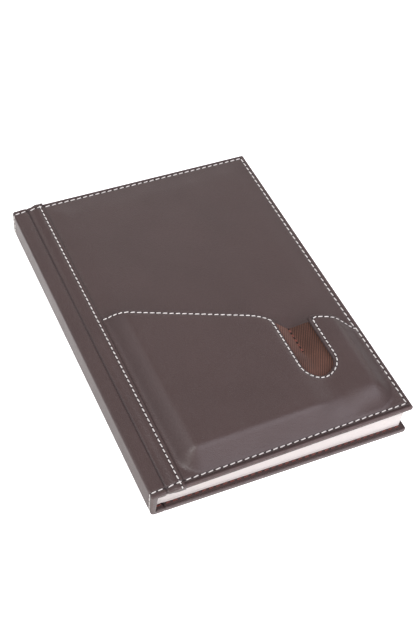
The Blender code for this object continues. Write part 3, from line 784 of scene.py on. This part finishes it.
class Wrap:
    """Leather round the spine: stations from the strip's cut edge, over the crease and round to the foot."""

    def __init__(self):
        fine = graded(0.0, along(STRIP_EDGE), CREASE_STEP, STRIP_STEP, CREASE_REACH)[::-1]
        cover = front_profile(fine, strip_face(fine) - crease(fine))
        inner = front_profile(fine, FRONT_RIM)
        thin = cover - [0.0, PINCH_DEPTH]
        cover_inner = thin + (inner - thin) * smooth(fine / PINCH)[:, None]

        shelf_width = HINGE_INSET + SPINE_LEAN - SHOULDER_REACH[0]
        shelf = -graded(0.0, shelf_width, CREASE_STEP, SHELF_STEP, CREASE_REACH)[1:-1]
        top = FRONT_HINGE.z + FACE
        shoulder = top - SHOULDER_DROP
        fall = SHOULDER_DROP * bend(-shelf / shelf_width, *SHOULDER_ENDS)
        shelf_line = np.stack([FRONT_HINGE.x + shelf, top - fall - crease(shelf)], axis=1)

        edge = np.array([SPINE_X - SPINE_LEAN, shoulder])
        foot = np.array([SPINE_X, FOOT_ROUND])
        down = (foot - edge) / np.linalg.norm(foot - edge)
        face_start = edge + SHOULDER_REACH[1] * down
        spine = np.concatenate([
            shelf_line,
            rounded_corner(edge + [SHOULDER_REACH[0], 0.0], edge, face_start),
            face_start + np.linspace(0.0, 1.0, 10)[1:-1, None] * (foot - face_start),
            rounded_corner(foot, (SPINE_X, 0.0), (SPINE_X + SPINE_ROUND, 0.0)),
            [[SPINE_X + BUTT, 0.0]],
        ])
        spine_inner = np.stack([
            np.maximum(spine[:, 0], SPINE_X + SPINE_WALL), np.clip(spine[:, 1], LOW_LIP, HIGH_LIP),
        ], axis=1)
        count = len(shelf)
        thin = shelf_line - [0.0, PINCH_DEPTH]
        spine_inner[:count] = thin + (spine_inner[:count] - thin) * smooth(-shelf / PINCH)[:, None]

        self.outer = np.concatenate([cover, spine])
        self.inner = np.concatenate([cover_inner, spine_inner])
        self.u = np.concatenate([fine, shelf, np.full(len(spine) - count, -HINGE_INSET)])
        near = smooth(np.abs(self.u) / (2 * PINCH))
        self.end = HALF + STRIP_END * strip_lap(self.u) - CREASE_NOTCH * (1 - near)
        self.turn = np.where(self.u > 0, 0.0, END_TURN) * near
        self.run = run_along(self.outer)

    def normals(self):
        """Directions out of the leather, in x and z."""
        tangent = np.gradient(self.outer, axis=0)
        out = np.stack([-tangent[:, 1], tangent[:, 0]], axis=1)
        out *= np.sign((out * (self.outer - self.inner)).sum(1))[:, None]
        return out / np.linalg.norm(out, axis=1)[:, None]

    def loop(self, i, rows):
        """Depth share and y of a closed section at station i: outside, round the end, and back inside."""
        depth = np.linalg.norm(self.inner[i] - self.outer[i])
        sheet = min(LEATHER / depth, WRAP_SHARE)
        flap = max(1 - FLAP / depth, 1 - WRAP_SHARE)
        root = self.end[i] - EDGE_ROUND
        outer = [(seam_dip(from_end_seams(y)) / depth, y) for y in rows * root]
        lip = min(EDGE_ROUND / depth, WRAP_SHARE)
        turns = np.linspace(0.0, math.pi / 2, 6)[1:]
        over = [(lip * (1 - math.cos(a)), root + EDGE_ROUND * math.sin(a)) for a in turns]
        low = min(RIM_ROUND / depth, RIM_SHARE)
        turns = np.linspace(0.0, math.pi / 2, 4)
        end = root + EDGE_ROUND
        under = [(1 - low * (1 - math.sin(a)), end - RIM_ROUND * (1 - math.cos(a))) for a in turns]
        back_in = root - self.turn[i]
        inside = [(1.0, back_in), (flap, back_in), (flap, root + CLEAR), (sheet, root + CLEAR)]
        turned = over + under + inside
        return outer + turned + [(share, -y) for share, y in reversed(turned)]

    def build(self, look):
        rows = graded(-1.0, 1.0, *WRAP_ROWS)
        verts, rest, wear_and_highlight, shade = [], [], [], []
        for i in range(len(self.outer)):
            share, y = np.array(self.loop(i, rows)).T
            flat = self.outer[i] + (self.inner[i] - self.outer[i]) * share[:, None]
            verts.append(np.stack([flat[:, 0], y, flat[:, 1]], axis=1))
            rest.append(np.stack([0 * y + self.run[i], y, share * WRAP_DEPTH], axis=1))
            rounded = (np.abs(y) > self.end[i] - 0.7 * EDGE_ROUND) & (share < 0.3)
            wear_and_highlight.append(np.where(rounded, END_WEAR, 0.0))
            cut = 1 - i / 2  # dark on the strip's cut edge, where the stations start
            # painted shade in the crease
            painted_crease_shade = dip(self.u[i], CREASE_SHADE, CREASE_WIDTH)
            dark = max(cut, painted_crease_shade, holes(self.u[i] - along(STRIP_SEAM)))
            shade.append(np.maximum(dark, holes(from_end_seams(y))))
        count = len(verts[0])
        faces = quads(len(verts), count, closed=True) + caps(len(verts), count)
        made = piece("spine_wrap", np.concatenate(verts), faces, look, "leather",
                     np.concatenate(rest), np.concatenate(wear_and_highlight), np.concatenate(shade))
        face_outward(made)
        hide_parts("spine_leather", "hinge_strip")
        return bent(made, "front_cover", FRONT_HINGE, -LEATHER_BEND, LEATHER_BEND)


def edge_path(wide, tall):
    """Vertices along a sheet's tail, fore edge and head, with the directions that point out of it there."""
    at = np.arange(wide * tall).reshape(wide, tall)
    fan = [(math.cos(turn), math.sin(turn)) for turn in np.linspace(-math.pi / 2, math.pi / 2, 11)]
    path = [(k, (0.0, -1.0)) for k in at[:-1, 0]]
    path += [(at[-1, 0], out) for out in fan[:6]]
    path += [(k, (1.0, 0.0)) for k in at[-1, 1:-1]]
    path += [(at[-1, -1], out) for out in fan[5:]]
    path += [(k, (0.0, 1.0)) for k in at[-2::-1, -1]]
    return np.array([k for k, _ in path]), np.array([(*out, 0.0) for _, out in path])


def edge_rings(base, out, low):
    """Rings of a turned edge from its face down to low and back inside, each with its paleness of worn
    leather and painted highlight, and its painted shade.
    """
    depth = base[:, 2] - low
    over = np.minimum(EDGE_ROUND, EDGE_SHARE * depth)
    lower = np.minimum(RIM_ROUND, RIM_SHARE * depth)
    rings = []

    def ring(reach, level, wear_and_highlight=0.0, shade=0.0):
        placed = base + out * np.asarray(reach).reshape(-1, 1)
        placed[:, 2] = level
        rings.append((placed, wear_and_highlight, shade))

    for turn in np.linspace(0.0, math.pi / 2, 7)[1:]:
        # paler where worn, and a painted highlight round the edge
        worn = EDGE_WEAR_AND_HIGHLIGHT[0] if turn < 1.3 else EDGE_WEAR_AND_HIGHLIGHT[1]
        ring(EDGE_ROUND * math.sin(turn), base[:, 2] - over * (1 - math.cos(turn)), worn)
    top, foot = base[:, 2] - over, low + lower
    for share, sunk in GROOVE_PROFILE:
        ring(EDGE_ROUND - EDGE_GROOVE * sunk, top + (foot - top) * share, EDGE_WEAR_AND_HIGHLIGHT[1], GROOVE_SHADE * sunk)
    for turn in np.linspace(0.0, math.pi / 2, 5):
        ring(EDGE_ROUND - RIM_ROUND * (1 - math.cos(turn)), low + lower * (1 - math.sin(turn)), RIM_WEAR)
    for share in (0.0, 0.6, 1.0):
        ring(EDGE_ROUND - LEATHER, low + (base[:, 2] - LEATHER - CLEAR - low) * share)
    return rings


def turned_leather(name, columns, step, face, rim, seam, to_row, look):
    """Leather over a cover, turned down at tail, fore edge and head, open towards the spine."""
    rows = graded(-HALF + EDGE_ROUND, HALF - EDGE_ROUND, EDGE_STEP, step, EDGE_REACH)
    wide, tall = len(columns), len(rows)
    u, y = np.meshgrid(columns, rows, indexing="ij")
    top = np.stack([u, y, face(u, y)], axis=-1).reshape(-1, 3)
    under = top - [0.0, 0.0, LEATHER]
    index, out = edge_path(wide, tall)
    turned = edge_rings(top[index], out, rim(top[index][:, 0]))

    count = len(index)
    first = len(top)
    second = first + len(turned) * count
    verts = np.concatenate([top, *(placed for placed, _, _ in turned), under])
    faces = [quad[::-1] for quad in quads(wide, tall)] + quads(wide, tall, second)
    rings = [list(index)]
    rings += [list(range(first + k * count, first + (k + 1) * count)) for k in range(len(turned))]
    rings.append([second + k for k in index])
    for upper, lower in zip(rings, rings[1:]):
        for j in range(count - 1):
            faces.append(trimmed(upper[j], lower[j], lower[j + 1], upper[j + 1]))
    cap = list(range(tall)) + [ring[-1] for ring in rings[1:-1]]
    cap += [second + j for j in reversed(range(tall))] + [ring[0] for ring in reversed(rings[1:-1])]
    faces.append(tuple(cap))

    def spread(on_top, values):
        return np.concatenate([on_top, np.repeat(values, count), np.zeros(len(under))])

    wear_and_highlight = spread(np.zeros(len(top)), [wear_and_highlight for _, wear_and_highlight, _ in turned])
    shade = spread(holes(seam(u, y)).ravel(), [shade for _, _, shade in turned])
    return face_outward(piece(name, to_row(verts), faces, look, "leather", verts, wear_and_highlight, shade))


def build_front_panel(look):
    start = along(STRIP_EDGE - STRIP_LAP)
    columns = graded(start, COVER_END - EDGE_ROUND, EDGE_STEP, FRONT_STEP, EDGE_REACH)
    made = turned_leather("front_panel", columns, FRONT_STEP, panel_face, lambda u: 0 * u + FRONT_RIM,
                          inside_seam, front, look)
    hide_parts("front_leather", "front_padding")
    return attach(made, "front_cover")


def inside_back_seam(u, y):
    inside = np.minimum(BACK_END - INNER_SEAM - u, HALF - INNER_SEAM - np.abs(y))
    return np.where(u > CREASE_GAP, inside, HALF)


def back_face(u, y):
    return FACE - crease(u) - seam_dip(inside_back_seam(u, y))


def back_rim(u):
    level = np.where(u > 0, BACK_RIM, FACE - LOW_LIP)
    thin = FACE - CREASE_DEPTH - BACK_PINCH_DEPTH
    return thin + (level - thin) * smooth(np.abs(u) / PINCH)


def build_back_leather(look):
    """The back's leather, from the spine's underside over the crease to the fore edge."""
    start = along(BUTT) + CLEAR
    columns = np.concatenate([
        np.linspace(start, -CREASE_REACH, 6), np.arange(*BACK_CREASE),
        graded(BACK_FIELD, BACK_END - EDGE_ROUND, EDGE_STEP, BACK_STEP, EDGE_REACH),
    ])
    made = turned_leather("back_panel", columns, BACK_STEP, back_face, back_rim,
                          inside_back_seam, back, look)
    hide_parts("back_leather")
    return bent(made, "back_cover", BACK_HINGE, -LEATHER_BEND, LEATHER_BEND)


def build_hinge_lining(look, russet):
    """Inner leather between the spine and the back's crease, with the end of the inner seam."""
    start, end = SPINE_X + BUTT + HINGE_GAPS[0], BACK_HINGE.x - HINGE_GAPS[1]
    share = np.linspace(0.0, 1.0, 9)
    reach = HALF - LEATHER - HINGE_GAPS[0]
    rows = graded(-reach, reach, *LINING_ROWS)
    x, y = np.meshgrid(start + (end - start) * share, rows, indexing="ij")
    sag = HINGE_SAG * np.sin(math.pi * (x - start) / (end - start))
    verts, faces = slab(np.stack([x, y, LOW_LIP - sag], axis=-1), FLAP)
    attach(face_outward(piece("hinge_lining", verts, faces, look, "lining")), "core")
    runs = []
    for y in (INNER_SEAM - HALF, HALF - INNER_SEAM):
        level = 0 * share + LOW_LIP - HINGE_SAG
        places = np.stack([np.linspace(start, end, 9), 0 * share + y, level], axis=1)
        runs.append((places, np.tile((0.0, 0.0, 1.0), (len(share), 1))))
    stitched("hinge_lining_stitches", runs, russet, "core", (), STITCH_PITCH, INNER_SHARE)


def pocket_net():
    """Flat points and triangles of the pocket, close together at its edges and seams."""
    rings = [pocket_ring(inset) for inset in NET_INSETS]
    low, high = rings[0].min(0), rings[0].max(0)
    u, y = np.meshgrid(np.arange(low[0], high[0], NET_STEP), np.arange(low[1], high[1], NET_STEP))
    grid = np.stack([u.ravel(), y.ravel()], axis=1)
    deepest = NET_INSETS[-1]
    grid = grid[(grid[:, 1] < mouth_line(grid[:, 0]) - deepest) & (notch_gap(*grid.T) > deepest)]
    grid = grid[nearest(grid, np.concatenate(rings)) > 0.6 * NET_STEP]
    inner = [ring[:: 1 if inset < NET_THIN else 2] for ring, inset in zip(rings[1:], NET_INSETS[1:])]
    points = np.concatenate([rings[0], *inner, grid])
    count = len(rings[0])
    edges = [(i, (i + 1) % count) for i in range(count)]
    flat, _, faces, *_ = delaunay_2d_cdt([Vector(p) for p in points], edges, [], 1, 1e-7)
    return np.array([tuple(p) for p in flat]), [tuple(face) for face in faces]


def build_pocket(look):
    """Formed leather with a slanting mouth and a thumb notch, cut to its outline and given its thickness."""
    flat, faces = pocket_net()
    top = np.column_stack([flat, pocket_face(flat[:, 0], flat[:, 1])])
    used = {(a, b) for face in faces for a, b in zip(face, face[1:] + face[:1])}
    following = {a: b for a, b in used if (b, a) not in used}
    before = {b: a for a, b in following.items()}
    size = len(top)
    rim = sorted(following)
    at = {a: 2 * size + k for k, a in enumerate(rim)}
    tangent = np.array([flat[following[a]] - flat[before[a]] for a in rim])
    outward = np.stack([tangent[:, 1], -tangent[:, 0]], axis=1)
    outward /= np.linalg.norm(outward, axis=1)[:, None]
    middle = top[rim] - [0.0, 0.0, LEATHER / 2]
    middle[:, :2] += CUT_ROUND / 2 * outward
    verts = np.concatenate([top, top - [0.0, 0.0, LEATHER], middle])
    shell = faces + [tuple(size + k for k in reversed(face)) for face in faces]
    for a, b in following.items():
        shell.append((b, a, at[a], at[b]))
        shell.append((at[b], at[a], size + a, size + b))
    shade = np.zeros(len(verts))
    shade[:size] = holes(from_seam(flat[:, 0], flat[:, 1]))
    shade[rim] = CUT_SHADE[0]
    shade[2 * size:] = CUT_SHADE[1]
    made = piece("pocket_leather", front(verts), shell, look, "leather", verts, None, shade, sharp=50.0)
    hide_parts("pocket_panel")
    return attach(made, "front_cover")


# Cloth


def cloth_edge(u):
    return mouth_line(u) - CLOTH_DROP


def divider_start():
    """Upper end of the seam between the compartments."""
    seam = along(NOTCH_CENTRE)
    return seam, cloth_edge(seam) - DIVIDER_DROP


def cloth_face(u, y):
    """Top of the cloth: under the leather, sunk at the notch and sewn down between the compartments."""
    sewn = padded_face(u, y) + SKIN - LEATHER + CLOTH
    sink = CLOTH_SINK * smooth(1 - notch_gap(u, y) / CLOTH_SINK_RUN)
    hung = np.maximum(sewn, formed_face(u, y) - LEATHER - CLOTH_GAP - sink)
    across = 1 - bend(np.abs(u - along(NOTCH_CENTRE)) / DIVIDER_RUN, *DIVIDER_ENDS)
    top = cloth_edge(along(NOTCH_CENTRE))
    share = across * smooth(1 - (top - DIVIDER_LENGTH - y) / DIVIDER_FADE)
    return hung + (sewn - hung) * share


def build_cloth(look):
    """Twill lining of the pocket, one sheet with its thickness."""
    columns = np.linspace(along(CLOTH_LEFT), along(CLOTH_RIGHT), 150)
    share = np.linspace(0.0, 1.0, 110)
    tail = from_tail(CLOTH_TAIL)
    u = np.repeat(columns[:, None], len(share), axis=1)
    y = tail + (cloth_edge(u) - tail) * share
    verts, faces = slab(np.stack([u, y, cloth_face(u, y)], axis=-1), CLOTH)
    made = face_outward(piece("pocket_cloth", front(verts), faces, look, "cloth", verts))
    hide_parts("pocket_lining")
    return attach(made, "front_cover")


# Thread


def stitch_shape():
    """One stitch of unit length along x: a thread that rises from its needle hole and goes back down."""
    rings, sides = 9, 8
    t = np.linspace(-1.0, 1.0, rings)
    radius = STITCH_WIDTH / 2 * np.sqrt(np.clip(1 - 0.9 * t**6, 0.0, 1.0))
    height = STITCH_HEIGHT * (1 - 1.7 * np.abs(t) ** 6)
    turn = np.arange(sides) / sides * 2 * math.pi
    x = np.repeat(t[:, None] / 2, sides, axis=1)
    y = radius[:, None] * np.cos(turn)
    z = (height - STITCH_WIDTH * 0.35)[:, None] + 0.85 * radius[:, None] * np.sin(turn)
    verts = np.stack([x, y, z], axis=-1).reshape(-1, 3)
    plies = 2.4 * np.repeat(t[:, None], sides, axis=1) + np.broadcast_to(np.cos(turn), (rings, sides))
    rest = np.stack([plies, np.repeat(t[:, None], sides, axis=1), 0 * plies], axis=-1).reshape(-1, 3)
    faces = [face[::-1] for face in quads(rings, sides, closed=True)] + caps(rings, sides)
    return verts, faces, rest


STITCH = stitch_shape()


def one_stitch(run, places, normals, start, step, share):
    """Vertices of a stitch that takes up a step of a run."""
    near, middle, far = (at_run(run, places, start + part * step) for part in (0.1, 0.5, 0.9))
    out = at_run(run, normals, start + step / 2)
    centre = (near + far) / 4 + middle / 2
    ahead = far - near
    ahead /= np.linalg.norm(ahead)
    out -= ahead * (out @ ahead)
    out /= np.linalg.norm(out)
    side = np.cross(out, ahead)
    slant = STITCH_SLANT + rng.normal(0.0, SLANT_SPREAD)
    ahead, side = (
        ahead * math.cos(slant) + side * math.sin(slant),
        side * math.cos(slant) - ahead * math.sin(slant),
    )
    size = rng.uniform(*SIZE_SPREAD)
    base = STITCH[0] * (share * step, 1.0, 1.0)
    return centre + size * (base[:, :1] * ahead + base[:, 1:2] * side + base[:, 2:] * out)


def stitched(name, runs, thread, body, replaced=(), pitch=STITCH_PITCH, share=STITCH_SHARE):
    """Single stitches along runs of (places, normals), as one piece; pitch is for all runs or for each."""
    base, base_faces, base_rest = STITCH
    verts, faces, rest = [], [], []
    for (places, normals), spacing in zip(runs, np.broadcast_to(pitch, len(runs))):
        run = run_along(places)
        count = max(1, round(run[-1] / spacing))
        step = run[-1] / count
        for k in range(count):
            first = len(verts) * len(base)
            verts.append(one_stitch(run, places, normals, k * step, step, share))
            rest.append(base_rest + [0.0, 0.0, rng.uniform(0.0, 9.0)])
            faces += [tuple(first + i for i in face) for face in base_faces]
    made = piece(name, np.concatenate(verts), faces, *thread, np.concatenate(rest), sharp=80.0)
    if replaced:
        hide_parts(*replaced)
    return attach(made, body)


def on_cover(line, height, to_row, step=0.0006):
    """A line of (u, y) laid on a cover's surface, as places and normals in the row frame."""
    line = respaced(np.array(line, float), step)
    u, y = line.T
    reach = 0.0004
    w = height(u, y)
    slope_u = (height(u + reach, y) - height(u - reach, y)) / (2 * reach)
    slope_y = (height(u, y + reach) - height(u, y - reach)) / (2 * reach)
    normals = np.stack([-slope_u, -slope_y, np.ones_like(u)], axis=1)
    origin = to_row(np.zeros((1, 3)))
    return to_row(np.column_stack([line, w])), to_row(normals) - origin


def stitch_front_edge(white):
    """The seam round the front's edge, over cover, pocket and strip."""
    head, tail = HALF - HEAD_SEAM, TAIL_SEAM - HALF
    head_corner, tail_corner = (COVER_END - HEAD_SEAM, head), (COVER_END - TAIL_SEAM, tail)
    edge_u = along(STRIP_EDGE) + STRIP_GAP
    share = (head - mouth_line(head_corner[0])) / (head - tail)
    meeting = np.array(head_corner) + share * (np.array(tail_corner) - head_corner)
    gap = np.array((0.0, LAP_GAP))
    runs = [
        on_cover([(edge_u, head), head_corner], panel_face, front),
        on_cover([head_corner, meeting + gap], panel_face, front),
        on_cover([meeting - gap, tail_corner], pocket_face, front),
        on_cover([tail_corner, (edge_u, tail)], pocket_face, front),
    ]
    for y in (head, tail):
        on_strip = [(along(STRIP_EDGE) - LAP_GAP, y), (CREASE_GAP, y)]
        runs.append(on_cover(on_strip, lambda u, y: strip_face(u) - SEAM_DIP, front))
    stitched("edge_stitches", runs, white, "front_cover", ["front_edge_stitching"])


def stitch_strip(white):
    """The seam down the strip, which turns over its ends."""
    strip_u = along(STRIP_SEAM)
    reach = HALF - EDGE_ROUND
    runs = [on_cover([(strip_u, reach), (strip_u, -reach)], lambda u, y: strip_face(u), front)]
    level = FACE + STRIP_RISE
    for side in (-1, 1):
        turn = np.linspace(0.3, math.pi / 2, 8)
        over = HALF + STRIP_END - EDGE_ROUND * (1 - np.sin(turn))
        drop = level - EDGE_ROUND * (1 - np.cos(turn))
        places = np.stack([0 * turn + strip_u, side * over, drop], axis=1)
        outs = np.stack([0 * turn, side * np.sin(turn), np.cos(turn)], axis=1)
        runs.append((front(places), front(outs) - front(np.zeros((1, 3)))))
    stitched("strip_stitches", runs, white, "front_cover", ["strip_seam_stitching"], STRIP_PITCH)


def stitch_mouth(white):
    """The seam along the pocket's mouth and round its notch."""
    notch = notch_line(MOUTH_SEAM)
    start, end = along(POCKET_LEFT) + MOUTH_SEAM_ENDS[0], along(POCKET_RIGHT) - MOUTH_SEAM_ENDS[1]
    runs = [
        on_cover(mouth_run(start, notch[0, 0], MOUTH_SEAM), pocket_face, front),
        on_cover(notch, pocket_face, front),
        on_cover(mouth_run(notch[-1, 0], end, MOUTH_SEAM), pocket_face, front),
    ]
    stitched("mouth_stitches", runs, white, "front_cover", ["pocket_mouth_stitching"],
             (MOUTH_PITCH, NOTCH_PITCH, MOUTH_PITCH))


def stitch_divider(russet):
    seam, top = divider_start()
    run = on_cover([(seam, top), (seam, top - DIVIDER_LENGTH)], cloth_face, front)
    replaced = ["divider_stitching"]
    stitched("divider_stitches", [run], russet, "front_cover", replaced, DIVIDER_PITCH, DIVIDER_SHARE)


def stitch_spine_ends(white, wrap):
    """The edge seam as it runs on over the spine's head and tail."""
    out = wrap.normals()
    kept = wrap.u < -CREASE_GAP
    runs = []
    for y in (HALF - HEAD_SEAM, TAIL_SEAM - HALF):
        sunk = wrap.outer - SEAM_DIP * out
        places = np.column_stack([sunk[:, 0], np.full(len(out), y), sunk[:, 1]])
        normals = np.column_stack([out[:, 0], 0 * out[:, 0], out[:, 1]])
        runs.append((places[kept], normals[kept]))
    stitched("spine_end_stitches", runs, white, "core", (), MOUTH_PITCH)


def stitch_covers_inside(white, russet):
    """The back's outer seam, and the russet thread that shows on both covers' inner margins."""
    y = HALF - INNER_SEAM

    def corners(end):
        u = end - INNER_SEAM
        places = [(CREASE_GAP, -y), (u, -y), (u, y), (CREASE_GAP, y)]
        return list(zip(places, places[1:]))

    outside = [on_cover(pair, back_face, back) for pair in corners(BACK_END)]
    stitched("back_stitches", outside, white, "back_cover")
    for cover, level, end, to_row, node in (
        ("front_cover", FRONT_RIM, COVER_END, front, "front_inner_stitching"),
        ("back_cover", BACK_RIM, BACK_END, back, "back_inner_stitching"),
    ):
        runs = []
        for pair in corners(end):
            places, normals = on_cover(pair, lambda u, y: 0 * u + level, to_row)
            runs.append((places, -normals))
        stitched(cover + "_inner_stitches", runs, russet, cover, [node], STITCH_PITCH, INNER_SHARE)


# Paper


def block_height(share, u):
    """Height in the text block at u: share 0 is its underside and 1 its top."""
    top = BLOCK_HIGH + PAGE_RISE + u * math.tan(COVER_TILT)
    return BLOCK_LOW + (top - BLOCK_LOW) * share


def leaf_columns(leaf_end):
    """u values along a leaf, close together where it bends."""
    start, end = PAPER_BEND
    return np.concatenate([[BLOCK_START], np.linspace(start, end, 31), np.linspace(end, leaf_end, 8)[1:]])


def page_stack(name, tops, bottoms, columns, look, slot):
    """Leaves lying on each other: tops and bottoms give each leaf's heights over the columns."""
    wide = len(columns)
    y_rows = np.linspace(-1.0, 1.0, 7)
    path = [(c, -1.0) for c in range(wide)] + [(wide - 1, t) for t in y_rows[1:-1]]
    path += [(c, 1.0) for c in reversed(range(wide))] + [(0, t) for t in y_rows[-2:0:-1]]
    column = np.array([c for c, _ in path])
    side = np.array([t for _, t in path])
    loops = []
    for top, bottom in zip(tops, bottoms):
        shift_y, shift_u = rng.uniform(0.0, LEAF_SHIFT, 2)
        u = columns[column] - np.where(column == wide - 1, shift_u, 0.0)
        y = side * (LEAF_HALF - shift_y)
        for level in (top, bottom):
            loops.append(np.column_stack([u, y, level[column]]))
    count = len(path)
    verts = np.concatenate(loops)
    faces = quads(len(loops), count, closed=True)
    last = (len(loops) - 1) * count
    across = [(c, 2 * wide + len(y_rows) - 3 - c) for c in range(wide)]
    for (a, b), (c, d) in zip(across, across[1:]):
        near = trimmed(a, c, d, b) if c < wide - 1 else (a, *range(c, d + 1), b)
        if a == 0:
            near = (*near, *range(b + 1, count))
        faces.append(tuple(near))
        faces.append(tuple(last + k for k in reversed(near)))
    placed = verts + [FRONT_HINGE.x, 0.0, 0.0]
    return face_outward(piece(name, placed, faces, look, slot, verts, sharp=25.0))


def build_pages(look):
    columns = leaf_columns(BLOCK_END)
    for k in range(SECTIONS):
        shares = np.linspace(1 - k / SECTIONS, 1 - (k + 1) / SECTIONS, LEAVES + 1)
        tops = [block_height(share, columns) - LEAF_GAP for share in shares[:-1]]
        bottoms = [block_height(share, columns) - LEAF_GAP for share in shares[1:]]
        bottoms[-1] = bottoms[-1] + 2 * LEAF_GAP
        made = page_stack(f"page_bundle_{k + 1}", tops, bottoms, columns, look, "paper")
        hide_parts(f"section_{k + 1}")
        if k < TURNING_SECTIONS:
            bent(made, f"pages_{k + 1}", FRONT_HINGE, *PAPER_BEND)
        else:
            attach(made, "core")
        if k == 0:
            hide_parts("gutter_margin")


def build_endpapers(look):
    """The front flyleaf and pastedown, which run on into the gutter."""
    columns = leaf_columns(LEAF_END)
    into = smooth((GUTTER - columns) / GUTTER_RUN)
    gutter = block_height(1.0, columns)
    for name, node, body, level, lift in (
        ("flyleaf_front", "front_flyleaf", "front_leaf", FLYLEAF_LEVEL, FLYLEAF_LIFT),
        ("pastedown_front", "front_pastedown", "front_cover", PASTEDOWN_LEVEL, PASTEDOWN_LIFT),
    ):
        under_cover = front_profile(columns, level + SHEET / 2)[:, 1]
        top = under_cover + (gutter + lift + SHEET - under_cover) * into
        made = page_stack(name, [top], [top - SHEET], columns, look, "endpaper")
        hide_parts(node)
        bent(made, body, FRONT_HINGE, *PAPER_BEND)


# The set


def build_stage():
    floor = bpy.data.meshes.new("floor")
    corners = [(FLOOR_HALF * x, FLOOR_HALF * y, 0.0) for x, y in ((-1, -1), (1, -1), (1, 1), (-1, 1))]
    floor.from_pydata(corners, [], [(0, 1, 2, 3)])
    look = bpy.data.materials.new("floor_white")
    look.use_nodes = True
    shader = look.node_tree.nodes["Principled BSDF"]
    shader.inputs["Base Color"].default_value = (FLOOR_TONE, FLOOR_TONE, FLOOR_TONE, 1.0)
    shader.inputs["Roughness"].default_value = 0.9
    shader.inputs["Emission Color"].default_value = (1.0, 1.0, 1.0, 1.0)
    shader.inputs["Emission Strength"].default_value = FLOOR_GLOW
    floor.materials.append(look)
    made = linked("floor", floor)
    made.location.z = -FLOOR_DROP
    made.visible_glossy = False


def build_world():
    """Soft light all round, weaker or stronger by direction."""
    world = bpy.data.worlds.new("studio")
    world.use_nodes = True
    world.cycles.sampling_method = "NONE"
    tree = world.node_tree
    background = tree.nodes["Background"]
    background.inputs["Color"].default_value = (1.0, 1.0, 1.0, 1.0)
    direction = add_node(tree, "ShaderNodeTexCoord").outputs["Generated"]
    split = add_node(tree, "ShaderNodeSeparateXYZ", {0: direction}).outputs
    strength = 1.0
    for axis, low, high, at_low, at_high in WORLD_GLOW:
        heights = {"From Min": low, "From Max": high, "To Min": at_low, "To Max": at_high}
        glow = add_node(tree, "ShaderNodeMapRange", {"Value": split[axis], **heights}).outputs["Result"]
        strength = add_node(tree, "ShaderNodeMath", {0: strength, 1: glow}, operation="MULTIPLY").outputs[0]
    tree.links.new(strength, background.inputs["Strength"])
    bpy.context.scene.world = world
    bpy.context.scene.view_settings.view_transform = "Standard"


def build_lights():
    for name, place, size, power, colour in LIGHTS:
        data = bpy.data.lights.new(name, "AREA")
        data.shape = "RECTANGLE"
        data.size, data.size_y = size
        data.energy = power
        data.color = colour
        made = linked(name, data)
        made.location = place
        made.rotation_euler = (-Vector(place)).to_track_quat("-Z", "Y").to_euler()


def build_camera():
    data = bpy.data.cameras.new("camera")
    data.lens = CAMERA_LENS
    made = linked("camera", data)
    level = math.cos(CAMERA_RISE)
    forward = Vector((math.sin(CAMERA_TURN) * level, math.cos(CAMERA_TURN) * level, -math.sin(CAMERA_RISE)))
    made.location = CAMERA_AIM - forward * CAMERA_RANGE
    made.rotation_mode = "QUATERNION"
    made.rotation_quaternion = forward.to_track_quat("-Z", "Y") @ Quaternion((0.0, 0.0, 1.0), CAMERA_ROLL)
    bpy.context.scene.camera = made


def dress_nodes(looks):
    """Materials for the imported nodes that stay."""
    for node, look in looks.items():
        shown = frame["nodes"][node].data
        shown.materials.clear()
        shown.materials.append(look)


def main():
    leather = leather_look("brown_leather", LEATHER_TONE, roughness=0.45, gloss=0.5)
    lining = leather_look("inner_leather", LINING_TONE, roughness=0.55, gloss=0.35)
    twill = twill_look("brown_twill", *TWILL_TONES)
    white = thread_look("white_thread", *WHITE_TONES), "thread"
    russet = thread_look("russet_thread", *RUSSET_TONES), "inner_thread"
    paper = paper_look("cream_paper", PAPER_TONE)
    endpaper = paper_look("cream_endpaper", ENDPAPER_TONE)
    board = plain_look("grey_board", *BOARD_TONES, scale=900.0, roughness=0.9)
    gauze = plain_look("binding_gauze", *GAUZE_TONES, scale=1500.0, roughness=0.95)
    build_stage()
    build_world()
    build_lights()
    build_camera()
    wrap = Wrap()
    wrap.build(leather)
    build_front_panel(leather)
    build_back_leather(leather)
    build_hinge_lining(lining, russet)
    build_pocket(leather)
    build_cloth(twill)
    stitch_front_edge(white)
    stitch_strip(white)
    stitch_mouth(white)
    stitch_divider(russet)
    stitch_spine_ends(white, wrap)
    stitch_covers_inside(white, russet)
    build_pages(paper)
    build_endpapers(endpaper)
    dress_nodes({
        "spine_board": board, "front_board": board, "back_board": board, "front_hinge_rail": board,
        "back_hinge_rail": board, "spine_gauze": gauze, "front_lining": lining, "back_lining": lining,
        "back_pastedown": endpaper, "back_flyleaf": endpaper,
    })


main()
